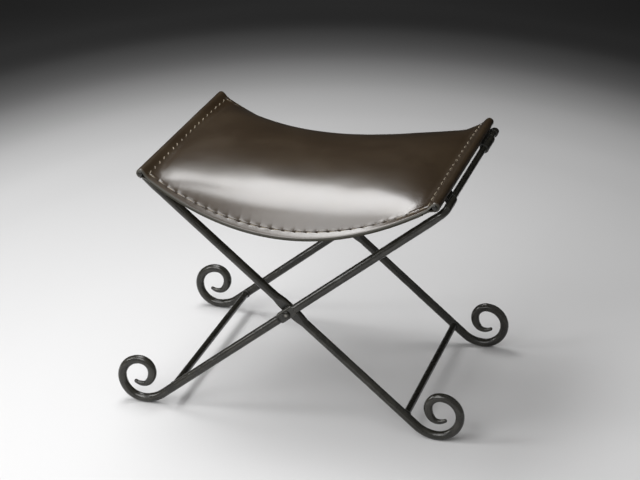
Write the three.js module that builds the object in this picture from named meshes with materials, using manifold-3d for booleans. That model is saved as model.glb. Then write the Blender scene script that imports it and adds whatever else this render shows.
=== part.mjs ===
// X frame stool: two U frames of forged round bar, riveted as a scissor, with a leather sling seat.
// Millimetres. +X is the way the frame opens, +Y goes to the back, +Z is up, the floor is at zero.
import * as THREE from 'three';
import * as BufferGeometryUtils from 'three/addons/utils/BufferGeometryUtils.js';
import Module from 'manifold-3d';

const wasm = await Module();
wasm.setup();

// Bar diameters
const legBar = 16;
const railBar = 12;
const stretcherBar = 12.7;
const seatBar = 9;

// The X, measured on the leg bars' centre lines
const cornerHalfSpan = 276;
const cornerHeight = 442.1;
const pivotHeight = 215.3;
const frameHalfDepth = 207;
const legPassingGap = 2;
const cornerRadius = 14;
const stretcherHeight = 38.4;

// Top of a leg: how far the bent bar reaches along the top rail, from the plane of its leg
const lapBar = 14.6;
const frontLap = 64;
const rearLap = 26;
const weldGap = 0.3;

// Scroll foot: radius of the centre line in each stretch of the curl
const instepRadius = 58.7;
const outerRadius = 40.8;
const crownRadius = 35.1;
const innerRadius = 23.2;
const descentRadius = 29;
const eyeRadius = 15;
const tipRadius = 25;
const tipTurn = THREE.MathUtils.degToRad(30);
const neckBar = 9.4;
const tipBar = 7.2;
const tipRoundShares = [0.4, 0.75];

// Hammered flat of a leg at the pivot
const flatThickness = 12;
const flatWidth = 20;
const flatLength = 30;
const innerFlatBlend = 22;
const outerFlatBlend = 9;
const blendShares = [1, 0.65, 0.35, 0];
const roundPower = 2;
const flatPower = 4;

// Rivet and washer
const rivetShank = 8;
const rivetHead = 15;
const rivetHeadHeight = 3;
const domeShares = [[0, 1], [0.55, 0.85], [0.9, 0.45], [1, 0]];
const washerDiameter = 19;
const shankClearance = 0.08;
const faceClearance = 0.3;

// Seat bars and the ties that carry them on the leg tops
const seatBarInset = 14;
const seatBarRise = 14;
const seatBarStickOut = 2;
const frontTieSetback = 58;
const rearTieSetback = 82;
const frontTieLength = 40;
const rearTieLength = 58;
const tieWidth = 7;

// Leather sling
const leather = 3.5;
const layerGap = 0.4;
const sleeveClearance = 0.5;
const sleeveFront = 237;
const sleeveRear = 213;
const frontSkew = 2;
const rearSkew = 6;
const frontBulge = 21;
const rearBulge = 2;
const frontSag = 81;
const rearSag = 82;
const middleSag = 25;
const seamReach = 12;
const tailReach = 24;
const tailGap = 0.5;
const slotClearance = 1.5;
const padThickness = 16.5;
const padSideReach = 22;
const padClearance = 0.3;

// Shares and counts of the sling's surface
const sagPower = 2.6;
const padSpanPower = 6.4;
const padRowPower = 8.9;
const padEdgeShare = 0.94;
const padLeanShare = 0.58;
const padSpanShares = [0, 0.2, 0.4, 0.58, 0.73, 0.84, 0.91, 0.96];
const padRowShares = [0, 0.35, 0.62, 0.8, 0.9];
const borderShares = [0.95, 1];
const tailShares = [0, 0.5, 1];
const sleeveSteps = 8;

// Facets
const barSides = 16;
const pinSides = 24;
const arcStep = THREE.MathUtils.degToRad(11.25);
const quarterTurn = Math.PI / 2;

// Values that follow from the sizes above
const legRun = Math.hypot(cornerHalfSpan, cornerHeight - pivotHeight);
const legSlope = Math.atan2(cornerHeight - pivotHeight, cornerHalfSpan);
const planeOffset = legBar + legPassingGap;
const lapBlend = cornerRadius + legBar;
const washerThickness = planeOffset - flatThickness - 2 * faceClearance;
const stretcherDrop = (pivotHeight - stretcherHeight) / Math.sin(legSlope);
const seatBarX = cornerHalfSpan - seatBarInset;
const seatBarZ = cornerHeight + seatBarRise;
const sleeveRadius = seatBar / 2 + sleeveClearance + leather / 2;
const layerPitch = leather + layerGap;
const mirrored = (shares) => [...shares.slice(1).reverse().map((s) => -s), ...shares];
const padSpan = mirrored(padSpanShares);
const padRows = mirrored(padRowShares);
const sheetSpan = mirrored([...padSpanShares, 1]);
const sheetRows = mirrored([...padRowShares, ...borderShares]);
const cutOverrun = 4;

const iron = new THREE.MeshStandardMaterial({ color: 0x2b2a27, roughness: 0.5, metalness: 0.8 });
const rivetIron = new THREE.MeshStandardMaterial({ color: 0x35332f, roughness: 0.45, metalness: 0.85 });
const brownLeather = new THREE.MeshStandardMaterial({ color: 0x3a2a20, roughness: 0.35, metalness: 0 });
const feltPad = new THREE.MeshStandardMaterial({ color: 0xb8ad94, roughness: 0.95, metalness: 0 });

// Solids and meshes

/** Turns the faces outward if their signed volume is negative. */
function facingOut(geometry) {
  const p = geometry.attributes.position;
  const index = geometry.index.array;
  const [a, b, c] = [new THREE.Vector3(), new THREE.Vector3(), new THREE.Vector3()];
  let volume = 0;
  for (let i = 0; i < index.length; i += 3) {
    a.fromBufferAttribute(p, index[i]);
    b.fromBufferAttribute(p, index[i + 1]);
    c.fromBufferAttribute(p, index[i + 2]);
    volume += a.dot(b.cross(c));
  }
  if (volume < 0) {
    for (let i = 0; i < index.length; i += 3) {
      [index[i], index[i + 2]] = [index[i + 2], index[i]];
    }
  }
  return geometry;
}

function bufferGeometry(points, triangles) {
  const geometry = new THREE.BufferGeometry();
  const places = points.flatMap((p) => [p.x, p.y, p.z]);
  geometry.setAttribute('position', new THREE.Float32BufferAttribute(places, 3));
  geometry.setIndex(triangles.flat());
  return facingOut(geometry);
}

function toSolid(geometry) {
  const plain = geometry.clone();
  plain.deleteAttribute('normal');
  plain.deleteAttribute('uv');
  const merged = BufferGeometryUtils.mergeVertices(plain);
  return new wasm.Manifold(new wasm.Mesh({
    numProp: 3,
    vertProperties: new Float32Array(merged.attributes.position.array),
    triVerts: new Uint32Array(merged.index.array),
  }));
}

function fromSolid(solid) {
  const mesh = solid.getMesh();
  const geometry = new THREE.BufferGeometry();
  geometry.setAttribute('position', new THREE.BufferAttribute(new Float32Array(mesh.vertProperties), 3));
  geometry.setIndex(new THREE.BufferAttribute(new Uint32Array(mesh.triVerts), 1));
  return geometry;
}

/** The first geometry with the others cut out of it. */
function cut(geometry, ...tools) {
  let solid = toSolid(geometry);
  for (const tool of tools) {
    solid = solid.subtract(toSolid(tool));
  }
  return fromSolid(solid);
}

function named(name, geometry, material) {
  const mesh = new THREE.Mesh(geometry, material);
  geometry.computeVertexNormals();
  mesh.name = name;
  return mesh;
}

/** A round bar between two points, its flats on the true radius. */
function straightBar(from, to, diameter, sides = barSides) {
  const along = new THREE.Vector3().subVectors(to, from);
  const radius = diameter / 2 / Math.cos(Math.PI / sides);
  const geometry = new THREE.CylinderGeometry(radius, radius, along.length(), sides);
  const upright = new THREE.Vector3(0, 1, 0);
  geometry.applyQuaternion(new THREE.Quaternion().setFromUnitVectors(upright, along.clone().normalize()));
  const middle = new THREE.Vector3().addVectors(from, to).multiplyScalar(0.5);
  return geometry.translate(middle.x, middle.y, middle.z);
}

/**
 * A bar swept through stations. Each has its place p, the unit vectors n and b across the bar, the half
 * sizes along them, and the power of its superellipse: 2 is round, more is squarer.
 */
function sweptBar(stations) {
  const points = [];
  const triangles = [];
  for (const { p, n, b, halfN, halfB, power } of stations) {
    // the facets, not the corners, lie on the true size
    const facet = Math.cos(Math.PI / barSides);
    const curve = (value) => Math.sign(value) * Math.abs(value / facet) ** (roundPower / power);
    for (let k = 0; k < barSides; k += 1) {
      const angle = ((2 * k + 1) * Math.PI) / barSides;
      const across = halfN * curve(Math.cos(angle));
      const over = halfB * curve(Math.sin(angle));
      points.push(p.clone().addScaledVector(n, across).addScaledVector(b, over));
    }
  }
  for (let i = 0; i + 1 < stations.length; i += 1) {
    for (let k = 0; k < barSides; k += 1) {
      const [a, c] = [i * barSides + k, i * barSides + ((k + 1) % barSides)];
      triangles.push([a, c, a + barSides], [c, c + barSides, a + barSides]);
    }
  }
  for (const [end, order] of [[0, 1], [stations.length - 1, -1]]) {
    const centre = points.push(stations[end].p.clone()) - 1;
    for (let k = 0; k < barSides; k += 1) {
      const [a, c] = [end * barSides + k, end * barSides + ((k + 1) % barSides)];
      triangles.push(order > 0 ? [centre, c, a] : [centre, a, c]);
    }
  }
  return bufferGeometry(points, triangles);
}

/** A closed skin between two grids of points of the same size. */
function skin(upper, lower) {
  const [columns, rows] = [upper.length, upper[0].length];
  const points = [...upper.flat(), ...lower.flat()];
  const below = columns * rows;
  const at = (i, j) => i * rows + j;
  const triangles = [];
  const quad = (a, b, c, d) => triangles.push([a, b, c], [a, c, d]);
  for (let i = 0; i + 1 < columns; i += 1) {
    for (let j = 0; j + 1 < rows; j += 1) {
      quad(at(i, j), at(i + 1, j), at(i + 1, j + 1), at(i, j + 1));
      quad(below + at(i, j), below + at(i, j + 1), below + at(i + 1, j + 1), below + at(i + 1, j));
    }
    quad(at(i + 1, 0), at(i, 0), below + at(i, 0), below + at(i + 1, 0));
    quad(at(i, rows - 1), at(i + 1, rows - 1), below + at(i + 1, rows - 1), below + at(i, rows - 1));
  }
  const last = columns - 1;
  for (let j = 0; j + 1 < rows; j += 1) {
    quad(at(0, j), at(0, j + 1), below + at(0, j + 1), below + at(0, j));
    quad(at(last, j + 1), at(last, j), below + at(last, j), below + at(last, j + 1));
  }
  return bufferGeometry(points, triangles);
}

// Legs

/** Widens the bar into the hammered flat: 0 away from the pivot, 1 on the flat. */
function flatness(distance, blend) {
  const away = Math.abs(distance - legRun) - flatLength / 2;
  return 1 - THREE.MathUtils.smoothstep(away, 0, blend);
}

/** Places along the straight leg that need a station: both ends of each blend, and inside it. */
function flatStops(blend) {
  const offsets = blendShares.map((share) => flatLength / 2 + blend * share);
  return [...offsets.map((o) => legRun - o), ...offsets.reverse().map((o) => legRun + o)];
}

/**
 * One leg with its lapped top and its scroll foot, about the pivot axis as origin.
 * footSide is +1 or -1 for a foot at +X or -X, plane is the leg's y, lap its overlap with the rail,
 * and flatBlend the length over which the bar turns into its flat.
 */
function legGeometry(footSide, plane, lap, flatBlend) {
  const down = new THREE.Vector3(footSide * Math.cos(legSlope), 0, -Math.sin(legSlope));
  const outward = new THREE.Vector3(footSide * Math.sin(legSlope), 0, Math.cos(legSlope));
  const inward = new THREE.Vector3(0, -Math.sign(plane), 0);
  const corner = new THREE.Vector3(0, plane, 0).addScaledVector(down, -legRun);
  const radius = legBar / 2;
  const lapRadius = lapBar / 2;
  const stations = [];
  const add = (p, heading, n, half, flat = 0) => stations.push({
    p,
    n,
    b: new THREE.Vector3().crossVectors(n, heading),
    halfN: THREE.MathUtils.lerp(half, flatWidth / 2, flat),
    halfB: THREE.MathUtils.lerp(half, flatThickness / 2, flat),
    power: THREE.MathUtils.lerp(roundPower, flatPower, flat),
  });

  add(corner.clone().addScaledVector(inward, lap), inward.clone().negate(), outward, lapRadius);
  const bendCentre = corner.clone().addScaledVector(inward, cornerRadius);
  bendCentre.addScaledVector(down, cornerRadius);
  const bendSteps = Math.round(quarterTurn / arcStep);
  for (let i = 0; i <= bendSteps; i += 1) {
    const turn = (quarterTurn * i) / bendSteps;
    const p = bendCentre.clone().addScaledVector(down, -cornerRadius * Math.cos(turn));
    p.addScaledVector(inward, -cornerRadius * Math.sin(turn));
    const heading = inward.clone().multiplyScalar(-Math.cos(turn)).addScaledVector(down, Math.sin(turn));
    add(p, heading, outward, lapRadius);
  }
  add(corner.clone().addScaledVector(down, lapBlend), down, outward, radius);
  for (const stop of flatStops(flatBlend)) {
    add(corner.clone().addScaledVector(down, stop), down, outward, radius, flatness(stop, flatBlend));
  }

  // the curl, walked in the plane of the leg: run is outward from the pivot, rise is above the floor
  const side = new THREE.Vector3().crossVectors(outward, down);
  let rise = radius + instepRadius * (1 - Math.cos(legSlope));
  let run = (pivotHeight - rise) / Math.tan(legSlope);
  const curl = [
    [instepRadius, -legSlope, 0],
    [outerRadius, 0, quarterTurn],
    [crownRadius, quarterTurn, 2 * quarterTurn],
    [innerRadius, 2 * quarterTurn, 3 * quarterTurn],
    [descentRadius, 3 * quarterTurn, 3.5 * quarterTurn],
    [eyeRadius, 3.5 * quarterTurn, 4 * quarterTurn],
    [tipRadius, 4 * quarterTurn, 4 * quarterTurn + tipTurn],
  ];
  const place = (turn, half) => {
    const heading = new THREE.Vector3(footSide * Math.cos(turn), 0, Math.sin(turn));
    const n = new THREE.Vector3().crossVectors(heading, side);
    add(new THREE.Vector3(footSide * run, plane, rise - pivotHeight), heading, n, half);
    return heading;
  };
  place(-legSlope, radius);
  let heading = down;
  let half = radius;
  for (const [bendRadius, from, to] of curl) {
    const steps = Math.max(2, Math.round((to - from) / arcStep));
    for (let i = 1; i <= steps; i += 1) {
      const [before, turn] = [from + ((to - from) * (i - 1)) / steps, from + ((to - from) * i) / steps];
      run += bendRadius * (Math.sin(turn) - Math.sin(before));
      rise += bendRadius * (Math.cos(before) - Math.cos(turn));
      const neck = THREE.MathUtils.smoothstep(turn, 3 * quarterTurn, 4 * quarterTurn);
      const point = THREE.MathUtils.smoothstep(turn, 4 * quarterTurn, 4 * quarterTurn + tipTurn);
      half = THREE.MathUtils.lerp(THREE.MathUtils.lerp(radius, neckBar / 2, neck), tipBar / 2, point);
      heading = place(turn, half);
    }
  }
  // blunt round tip
  const last = stations[stations.length - 1];
  for (const turn of tipRoundShares.map((share) => share * quarterTurn)) {
    const p = last.p.clone().addScaledVector(heading, half * Math.sin(turn));
    add(p, heading, last.n, half * Math.cos(turn));
  }

  const hole = straightBar(
    new THREE.Vector3(0, plane - legBar - cutOverrun, 0),
    new THREE.Vector3(0, plane + legBar + cutOverrun, 0),
    rivetShank + 2 * shankClearance,
    pinSides,
  );
  return cut(sweptBar(stations), hole);
}

// Frames: the inner one has its feet at +X, the outer one at -X

const frames = {
  inner: { footSide: 1, plane: frameHalfDepth - planeOffset / 2, flatBlend: innerFlatBlend },
  outer: { footSide: -1, plane: frameHalfDepth + planeOffset / 2, flatBlend: outerFlatBlend },
};

/** Middle and length along y of a tie, at the front (end -1) or the back (end +1) of a frame. */
function tiePlace(plane, end) {
  const [setback, length] = end < 0 ? [frontTieSetback, frontTieLength] : [rearTieSetback, rearTieLength];
  return { y: end * (plane - setback), length };
}

/** A round bar along y through a point of the section. */
function barAlongY(point, from, to, diameter, sides = barSides) {
  return straightBar(
    new THREE.Vector3(point.x, from, point.z),
    new THREE.Vector3(point.x, to, point.z),
    diameter,
    sides,
  );
}

/** Block between the leg tops' line and the seat bar, hollowed to sit on both. */
function tieGeometry(cornerPoint, barPoint, { y, length }) {
  const across = new THREE.Vector3().subVectors(barPoint, cornerPoint);
  const box = new THREE.BoxGeometry(tieWidth, length, across.length());
  box.rotateY(Math.atan2(across.x, across.z));
  const middle = new THREE.Vector3().addVectors(cornerPoint, barPoint).multiplyScalar(0.5);
  box.translate(middle.x, y, middle.z);
  const reach = length / 2 + cutOverrun;
  const seatOn = (point, bar) => barAlongY(point, y - reach, y + reach, bar + 2 * weldGap, pinSides);
  return cut(box, seatOn(cornerPoint, legBar), seatOn(barPoint, seatBar));
}

/** Half-round strap under the rail, opposite the rear tie. */
function cradleGeometry(cornerPoint, railPoint, { y, length }) {
  const blank = barAlongY(cornerPoint, y - length / 2, y + length / 2, legBar);
  const reach = length / 2 + cutOverrun;
  const bore = barAlongY(railPoint, y - reach, y + reach, railBar + 2 * weldGap, pinSides);
  const across = new THREE.Vector3().subVectors(railPoint, cornerPoint).normalize();
  const mouth = new THREE.BoxGeometry(legBar + 2 * cutOverrun, 2 * reach, legBar);
  mouth.rotateY(Math.atan2(across.x, across.z));
  const middle = railPoint.clone().addScaledVector(across, legBar / 2);
  mouth.translate(middle.x, y, middle.z);
  return cut(blank, bore, mouth);
}

function makeFrame(name) {
  const { footSide, plane, flatBlend } = frames[name];
  const group = new THREE.Group();
  group.position.z = pivotHeight;
  group.add(
    named(`${name}_leg_front`, legGeometry(footSide, -plane, frontLap, flatBlend), iron),
    named(`${name}_leg_rear`, legGeometry(footSide, plane, rearLap, flatBlend), iron),
  );

  const corner = new THREE.Vector3(-footSide * cornerHalfSpan, 0, cornerHeight - pivotHeight);
  const bar = new THREE.Vector3(-footSide * seatBarX, 0, seatBarZ - pivotHeight);
  const at = (point, y) => new THREE.Vector3(point.x, y, point.z);

  // the rail is flush with a leg's full width on the side of the seat bar
  const towardsBar = new THREE.Vector3().subVectors(bar, corner).normalize();
  const rail = corner.clone().addScaledVector(towardsBar, (legBar - railBar) / 2);
  const railFront = -plane + frontLap + weldGap;
  const railRear = plane - rearLap - weldGap;
  group.add(
    named(`${name}_top_rail`, barAlongY(rail, railFront, railRear, railBar), iron),
    named(`${name}_rail_cradle_rear`, cradleGeometry(corner, rail, tiePlace(plane, 1)), iron),
  );

  // the stretcher is coped to the legs
  const down = new THREE.Vector3(footSide * Math.cos(legSlope), 0, -Math.sin(legSlope));
  const stretcher = down.clone().multiplyScalar(stretcherDrop);
  const pivot = new THREE.Vector3();
  const far = down.clone().multiplyScalar(legRun);
  const legCut = (y) => straightBar(at(pivot, y), at(far, y), legBar + 2 * weldGap, pinSides);
  const stretcherBlank = straightBar(at(stretcher, -plane), at(stretcher, plane), stretcherBar);
  group.add(named(`${name}_stretcher`, cut(stretcherBlank, legCut(-plane), legCut(plane)), iron));

  const barFront = -(sleeveFront + seatBarStickOut) - footSide * frontSkew;
  const barRear = sleeveRear + seatBarStickOut - footSide * rearSkew;
  group.add(
    named(`${name}_seat_rod`, barAlongY(bar, barFront, barRear, seatBar), iron),
    named(`${name}_rod_tie_front`, tieGeometry(corner, bar, tiePlace(plane, -1)), iron),
    named(`${name}_rod_tie_rear`, tieGeometry(corner, bar, tiePlace(plane, 1)), iron),
  );
  return group;
}

// Pivots

/** Revolved outline about the pivot axis: pairs of radius and y. */
function turnedAboutY(outline) {
  const geometry = new THREE.LatheGeometry(outline.map(([r, y]) => new THREE.Vector2(r, y)), pinSides);
  return fromSolid(toSolid(facingOut(geometry)));
}

function makePivot(end) {
  const group = new THREE.Group();
  group.position.z = pivotHeight;
  const place = end > 0 ? 'rear' : 'front';
  const near = frames.inner.plane - flatThickness / 2 - faceClearance;
  const far = frames.outer.plane + flatThickness / 2 + faceClearance;
  const shank = rivetShank / 2;
  const head = rivetHead / 2;
  const rivet = [
    ...domeShares.map(([r, rise]) => [head * r, near - rivetHeadHeight * rise]),
    [shank, near],
    [shank, far],
    ...[...domeShares].reverse().map(([r, rise]) => [head * r, far + rivetHeadHeight * rise]),
  ];
  const washerNear = frames.inner.plane + flatThickness / 2 + faceClearance;
  const bore = shank + shankClearance;
  const washer = [
    [bore, washerNear],
    [washerDiameter / 2, washerNear],
    [washerDiameter / 2, washerNear + washerThickness],
    [bore, washerNear + washerThickness],
    [bore, washerNear],
  ];
  const turned = (outline) => turnedAboutY(outline.map(([r, y]) => [r, end * y]));
  group.add(
    named(`pivot_rivet_${place}`, turned(rivet), rivetIron),
    named(`pivot_washer_${place}`, turned(washer), rivetIron),
  );
  return group;
}

// Sling

/** How far the sling hangs below the seat bars at a row, from -1 at the front edge to 1 at the back. */
function sagAt(row) {
  return THREE.MathUtils.lerp(middleSag, row < 0 ? frontSag : rearSag, Math.abs(row) ** sagPower);
}

/** Slope of the sling where it reaches the seat bars. */
function slopeAt(row) {
  return Math.atan2(2 * sagAt(row), seatBarX);
}

/** Distance from the middle of the sling to a point this far in from the seat bars. */
function halfSpan(row, reach) {
  return seatBarX - reach * Math.cos(slopeAt(row));
}

/** How much the pad lifts the top layer. */
function padLift(x, row) {
  const side = Math.min(1, Math.abs(x) / (seatBarX - padSideReach));
  const edge = Math.min(1, Math.abs(row) / padEdgeShare);
  const share = x / seatBarX;
  const lean = 1 + padLeanShare * share * (1 - share ** 2);
  return padThickness * lean * (1 - side ** padSpanPower) * (1 - edge ** padRowPower);
}

/** A point of the face where the two layers meet, or of the top layer's underside over the pad. */
function slingPoint(x, row, lifted) {
  const share = x / seatBarX;
  const hollow = 1 - share ** 2;
  const front = -(sleeveFront + frontBulge * hollow) + frontSkew * share;
  const rear = sleeveRear + rearBulge * hollow + rearSkew * share;
  const z = seatBarZ - sagAt(row) * hollow + (lifted ? padLift(x, row) : 0);
  return new THREE.Vector3(x, THREE.MathUtils.lerp(front, rear, (row + 1) / 2), z);
}

/** Unit normal of a grid of points at i, j, from its neighbours. */
function gridNormal(grid, i, j) {
  const clamp = (value, count) => Math.min(Math.max(value, 0), count - 1);
  const at = (a, b) => grid[clamp(a, grid.length)][clamp(b, grid[0].length)];
  const along = new THREE.Vector3().subVectors(at(i + 1, j), at(i - 1, j));
  const across = new THREE.Vector3().subVectors(at(i, j + 1), at(i, j - 1));
  return along.cross(across).normalize();
}

function offsetGrid(grid, distance) {
  const moved = (p, i, j) => p.clone().addScaledVector(gridNormal(grid, i, j), distance);
  return grid.map((column, i) => column.map((p, j) => moved(p, i, j)));
}

/** Grid over the span between the tails, with or without the lift of the pad. */
function spanGrid(lifted) {
  return sheetSpan.map((share) => sheetRows.map((row) => {
    const x = share * halfSpan(row, tailReach + tailGap);
    return slingPoint(x, row, lifted);
  }));
}

/** Middle of the leather from the seam over the seat bar, round it, and back to the end of the tail. */
function sleevePoints(row) {
  const slope = slopeAt(row);
  const centre = slingPoint(seatBarX, row, false);
  const offset = layerPitch / 2;
  const local = (inward, up) => new THREE.Vector3(
    centre.x - inward * Math.cos(slope) - up * Math.sin(slope),
    centre.y,
    centre.z - inward * Math.sin(slope) + up * Math.cos(slope),
  );
  const layer = (reach, side) => {
    const p = slingPoint(halfSpan(row, reach), row, false);
    const tilt = Math.atan2(2 * sagAt(row) * p.x, seatBarX ** 2);
    const shift = side * offset;
    return new THREE.Vector3(p.x - shift * Math.sin(tilt), p.y, p.z + shift * Math.cos(tilt));
  };
  // the leather touches the round of the sleeve where a line from the seam is tangent to it
  const touch = Math.atan2(offset, seamReach) + Math.acos(sleeveRadius / Math.hypot(seamReach, offset));
  const places = [layer(seamReach, 1)];
  for (let i = 0; i <= sleeveSteps; i += 1) {
    const turn = THREE.MathUtils.lerp(touch, 2 * Math.PI - touch, i / sleeveSteps);
    places.push(local(sleeveRadius * Math.cos(turn), sleeveRadius * Math.sin(turn)));
  }
  for (const share of tailShares) {
    places.push(layer(THREE.MathUtils.lerp(seamReach, tailReach, share), -1));
  }
  return places;
}

function topLayerGrid(lifted) {
  const middle = offsetGrid(lifted, layerPitch / 2);
  const mirror = (p) => new THREE.Vector3(-p.x, p.y, p.z);
  const sleeves = sheetRows.map((row) => sleevePoints(row));
  const right = sleeves[0].map((_, i) => sleeves.map((sleeve) => sleeve[i]));
  const left = right.map((column, i) => column.map((p, j) => {
    // the left sleeve mirrors the right one, with its own ends
    const place = slingPoint(-sleeves[j][i].x, sheetRows[j], false);
    return mirror(p).setY(place.y);
  })).reverse();
  return [...left, ...middle, ...right];
}

/** Boxes that notch the sleeves where the ties pass through them. */
function tieSlots() {
  const slots = [];
  for (const { footSide, plane } of Object.values(frames)) {
    const bar = new THREE.Vector2(-footSide * seatBarX, seatBarZ);
    const corner = new THREE.Vector2(-footSide * cornerHalfSpan, cornerHeight);
    const towards = corner.clone().sub(bar).normalize();
    const depth = sleeveRadius + leather + cutOverrun;
    for (const end of [-1, 1]) {
      const { y, length } = tiePlace(plane, end);
      const box = new THREE.BoxGeometry(tieWidth + 2 * slotClearance, length + 2 * slotClearance, depth);
      box.rotateY(Math.atan2(towards.x, towards.y));
      const middle = bar.clone().addScaledVector(towards, depth / 2);
      box.translate(middle.x, y, middle.y);
      slots.push(box);
    }
  }
  return slots;
}

function makeSling() {
  const group = new THREE.Group();
  const lifted = spanGrid(true);
  const level = spanGrid(false);
  const top = topLayerGrid(lifted);
  const topLeather = skin(offsetGrid(top, leather / 2), offsetGrid(top, -leather / 2));
  group.add(named('sling_top_leather', cut(topLeather, ...tieSlots()), brownLeather));

  const lowerLeather = skin(offsetGrid(level, -layerGap / 2), offsetGrid(level, -layerGap / 2 - leather));
  group.add(named('sling_lower_leather', lowerLeather, brownLeather));

  // the pad fills the span short of the tails and the sewn borders
  const spanTrim = (sheetSpan.length - padSpan.length) / 2;
  const rowTrim = (sheetRows.length - padRows.length) / 2;
  const columnsInside = (grid) => grid.slice(spanTrim, -spanTrim);
  const inside = (grid) => columnsInside(grid).map((column) => column.slice(rowTrim, -rowTrim));
  const padTop = inside(offsetGrid(lifted, layerGap / 2 - padClearance));
  const padBottom = inside(offsetGrid(level, padClearance - layerGap / 2));
  group.add(named('sling_pad', skin(padTop, padBottom), feltPad));
  return group;
}

const stool = new THREE.Group();
stool.add(makeFrame('inner'), makeFrame('outer'), makePivot(-1), makePivot(1), makeSling());

// the sling overhangs the front more than the back: the whole is centred over the origin
stool.position.y = -new THREE.Box3().setFromObject(stool).getCenter(new THREE.Vector3()).y;

export default stool;
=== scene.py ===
"""X frame stool: forged iron scissor frame with a stitched and padded leather sling."""
import logging
import math
from dataclasses import dataclass, field, replace
from enum import Enum
from functools import cache

import bpy
import numpy as np
from mathutils import Matrix, Vector


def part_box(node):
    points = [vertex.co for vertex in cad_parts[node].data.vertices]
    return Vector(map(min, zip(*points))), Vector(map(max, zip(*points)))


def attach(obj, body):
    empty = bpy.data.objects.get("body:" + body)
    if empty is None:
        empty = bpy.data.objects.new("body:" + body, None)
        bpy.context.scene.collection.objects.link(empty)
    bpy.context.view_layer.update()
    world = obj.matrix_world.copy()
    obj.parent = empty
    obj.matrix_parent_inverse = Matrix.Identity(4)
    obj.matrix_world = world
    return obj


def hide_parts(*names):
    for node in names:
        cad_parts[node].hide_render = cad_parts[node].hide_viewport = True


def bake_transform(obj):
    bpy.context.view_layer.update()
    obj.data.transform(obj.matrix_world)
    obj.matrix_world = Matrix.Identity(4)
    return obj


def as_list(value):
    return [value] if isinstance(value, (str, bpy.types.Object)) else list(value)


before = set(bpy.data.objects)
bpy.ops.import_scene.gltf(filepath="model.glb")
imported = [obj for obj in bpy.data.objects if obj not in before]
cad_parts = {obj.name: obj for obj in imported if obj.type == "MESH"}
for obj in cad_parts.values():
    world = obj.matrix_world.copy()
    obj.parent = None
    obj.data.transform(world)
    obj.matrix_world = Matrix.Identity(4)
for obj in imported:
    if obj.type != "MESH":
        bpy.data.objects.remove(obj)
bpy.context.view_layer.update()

QUARTER_TURN = math.pi / 2
FULL_TURN = 2.0 * math.pi
BACK = np.array([0.0, 1.0, 0.0])
UP = np.array([0.0, 0.0, 1.0])
NO_FANS = np.empty((0, 3), dtype=int)
log = logging.getLogger("x_frame_stool")

Pair = tuple[float, float]
Colour = tuple[float, float, float]
RimStep = tuple[float, float, float]
Socket = bpy.types.NodeSocket
Piece = bpy.types.Object


class End(Enum):
    """The two ends of the stool along Y."""

    FRONT = -1
    REAR = 1


class Side(Enum):
    """The two frames of the scissor, by the side on which their feet stand."""

    INNER = 1
    OUTER = -1


class Hold(Enum):
    """How a piece is carried when the stool folds."""

    INNER = "inner_frame"
    OUTER = "outer_frame"
    SLING = "both frames"


# Shared shape helpers


def unit(vectors: np.ndarray) -> np.ndarray:
    """Return the vectors at length one."""
    return vectors / np.linalg.norm(vectors, axis=-1, keepdims=True)


def eased(share: np.ndarray) -> np.ndarray:
    """Return a share from 0 to 1 with a soft start and end."""
    return share * share * (3.0 - 2.0 * share)


def smooth_ramp(value: np.ndarray, low: float, high: float) -> np.ndarray:
    """Return 0 below low, 1 above high and a soft S between them."""
    return eased(np.clip((value - low) / (high - low), 0.0, 1.0))


def soft_noise(points: np.ndarray, pitch: float, seed: int) -> np.ndarray:
    """Give each point a smooth value from -1 to 1.

    Args:
        points: Places in metres, with x, y and z in the last axis.
        pitch: Distance between neighbouring lumps, in metres.
        seed: Number that fixes the pattern.

    Returns:
        One value per point.
    """
    size = 24
    table = np.random.default_rng(seed).uniform(-1.0, 1.0, (size, size, size))
    low = np.floor(points / pitch).astype(int)
    share = eased(points / pitch - low)
    total = np.zeros(points.shape[:-1])
    for corner in np.ndindex(2, 2, 2):
        step = np.array(corner)
        weight = np.where(step == 1, share, 1.0 - share).prod(axis=-1)
        at = (low + step) % size
        total += weight * table[at[..., 0], at[..., 1], at[..., 2]]
    return total


def running_length(points: np.ndarray, axis: int) -> np.ndarray:
    """Measure the distance walked through points.

    Args:
        points: A line or a grid of points.
        axis: The axis that is walked.

    Returns:
        The distance from the start at each point.
    """
    steps = np.linalg.norm(np.diff(points, axis=axis), axis=-1)
    start = np.zeros_like(np.take(steps, [0], axis=axis))
    return np.concatenate([start, np.cumsum(steps, axis=axis)], axis=axis)


def smoothed(grid: np.ndarray, times: int, share: np.ndarray | float = 1.0) -> np.ndarray:
    """Average each row of a grid with its two neighbours.

    Args:
        grid: Values or points, smoothed along the first axis, with both ends held.
        times: How often.
        share: How much of the change each inner row takes.

    Returns:
        The smoothed grid.
    """
    grid = grid.copy()
    for _ in range(times):
        mean = 0.25 * grid[:-2] + 0.5 * grid[1:-1] + 0.25 * grid[2:]
        grid[1:-1] += (mean - grid[1:-1]) * share
    return grid


def grid_normals(grid: np.ndarray) -> np.ndarray:
    """Return the unit normal at each point of a grid."""
    return unit(np.cross(np.gradient(grid, axis=0), np.gradient(grid, axis=1)))


def grid_point(grid: np.ndarray, i: np.ndarray, j: np.ndarray) -> np.ndarray:
    """Read a grid between its points.

    Args:
        grid: Points or values, columns by rows.
        i: Columns, with fractions.
        j: Rows, with fractions.

    Returns:
        One entry for each pair of column and row.
    """
    low_i = np.clip(np.floor(i).astype(int), 0, grid.shape[0] - 2)
    low_j = np.clip(np.floor(j).astype(int), 0, grid.shape[1] - 2)
    u, v = (i - low_i)[:, None], (j - low_j)[:, None]
    near = grid[low_i, low_j] * (1.0 - v) + grid[low_i, low_j + 1] * v
    far = grid[low_i + 1, low_j] * (1.0 - v) + grid[low_i + 1, low_j + 1] * v
    return near * (1.0 - u) + far * u


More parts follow.
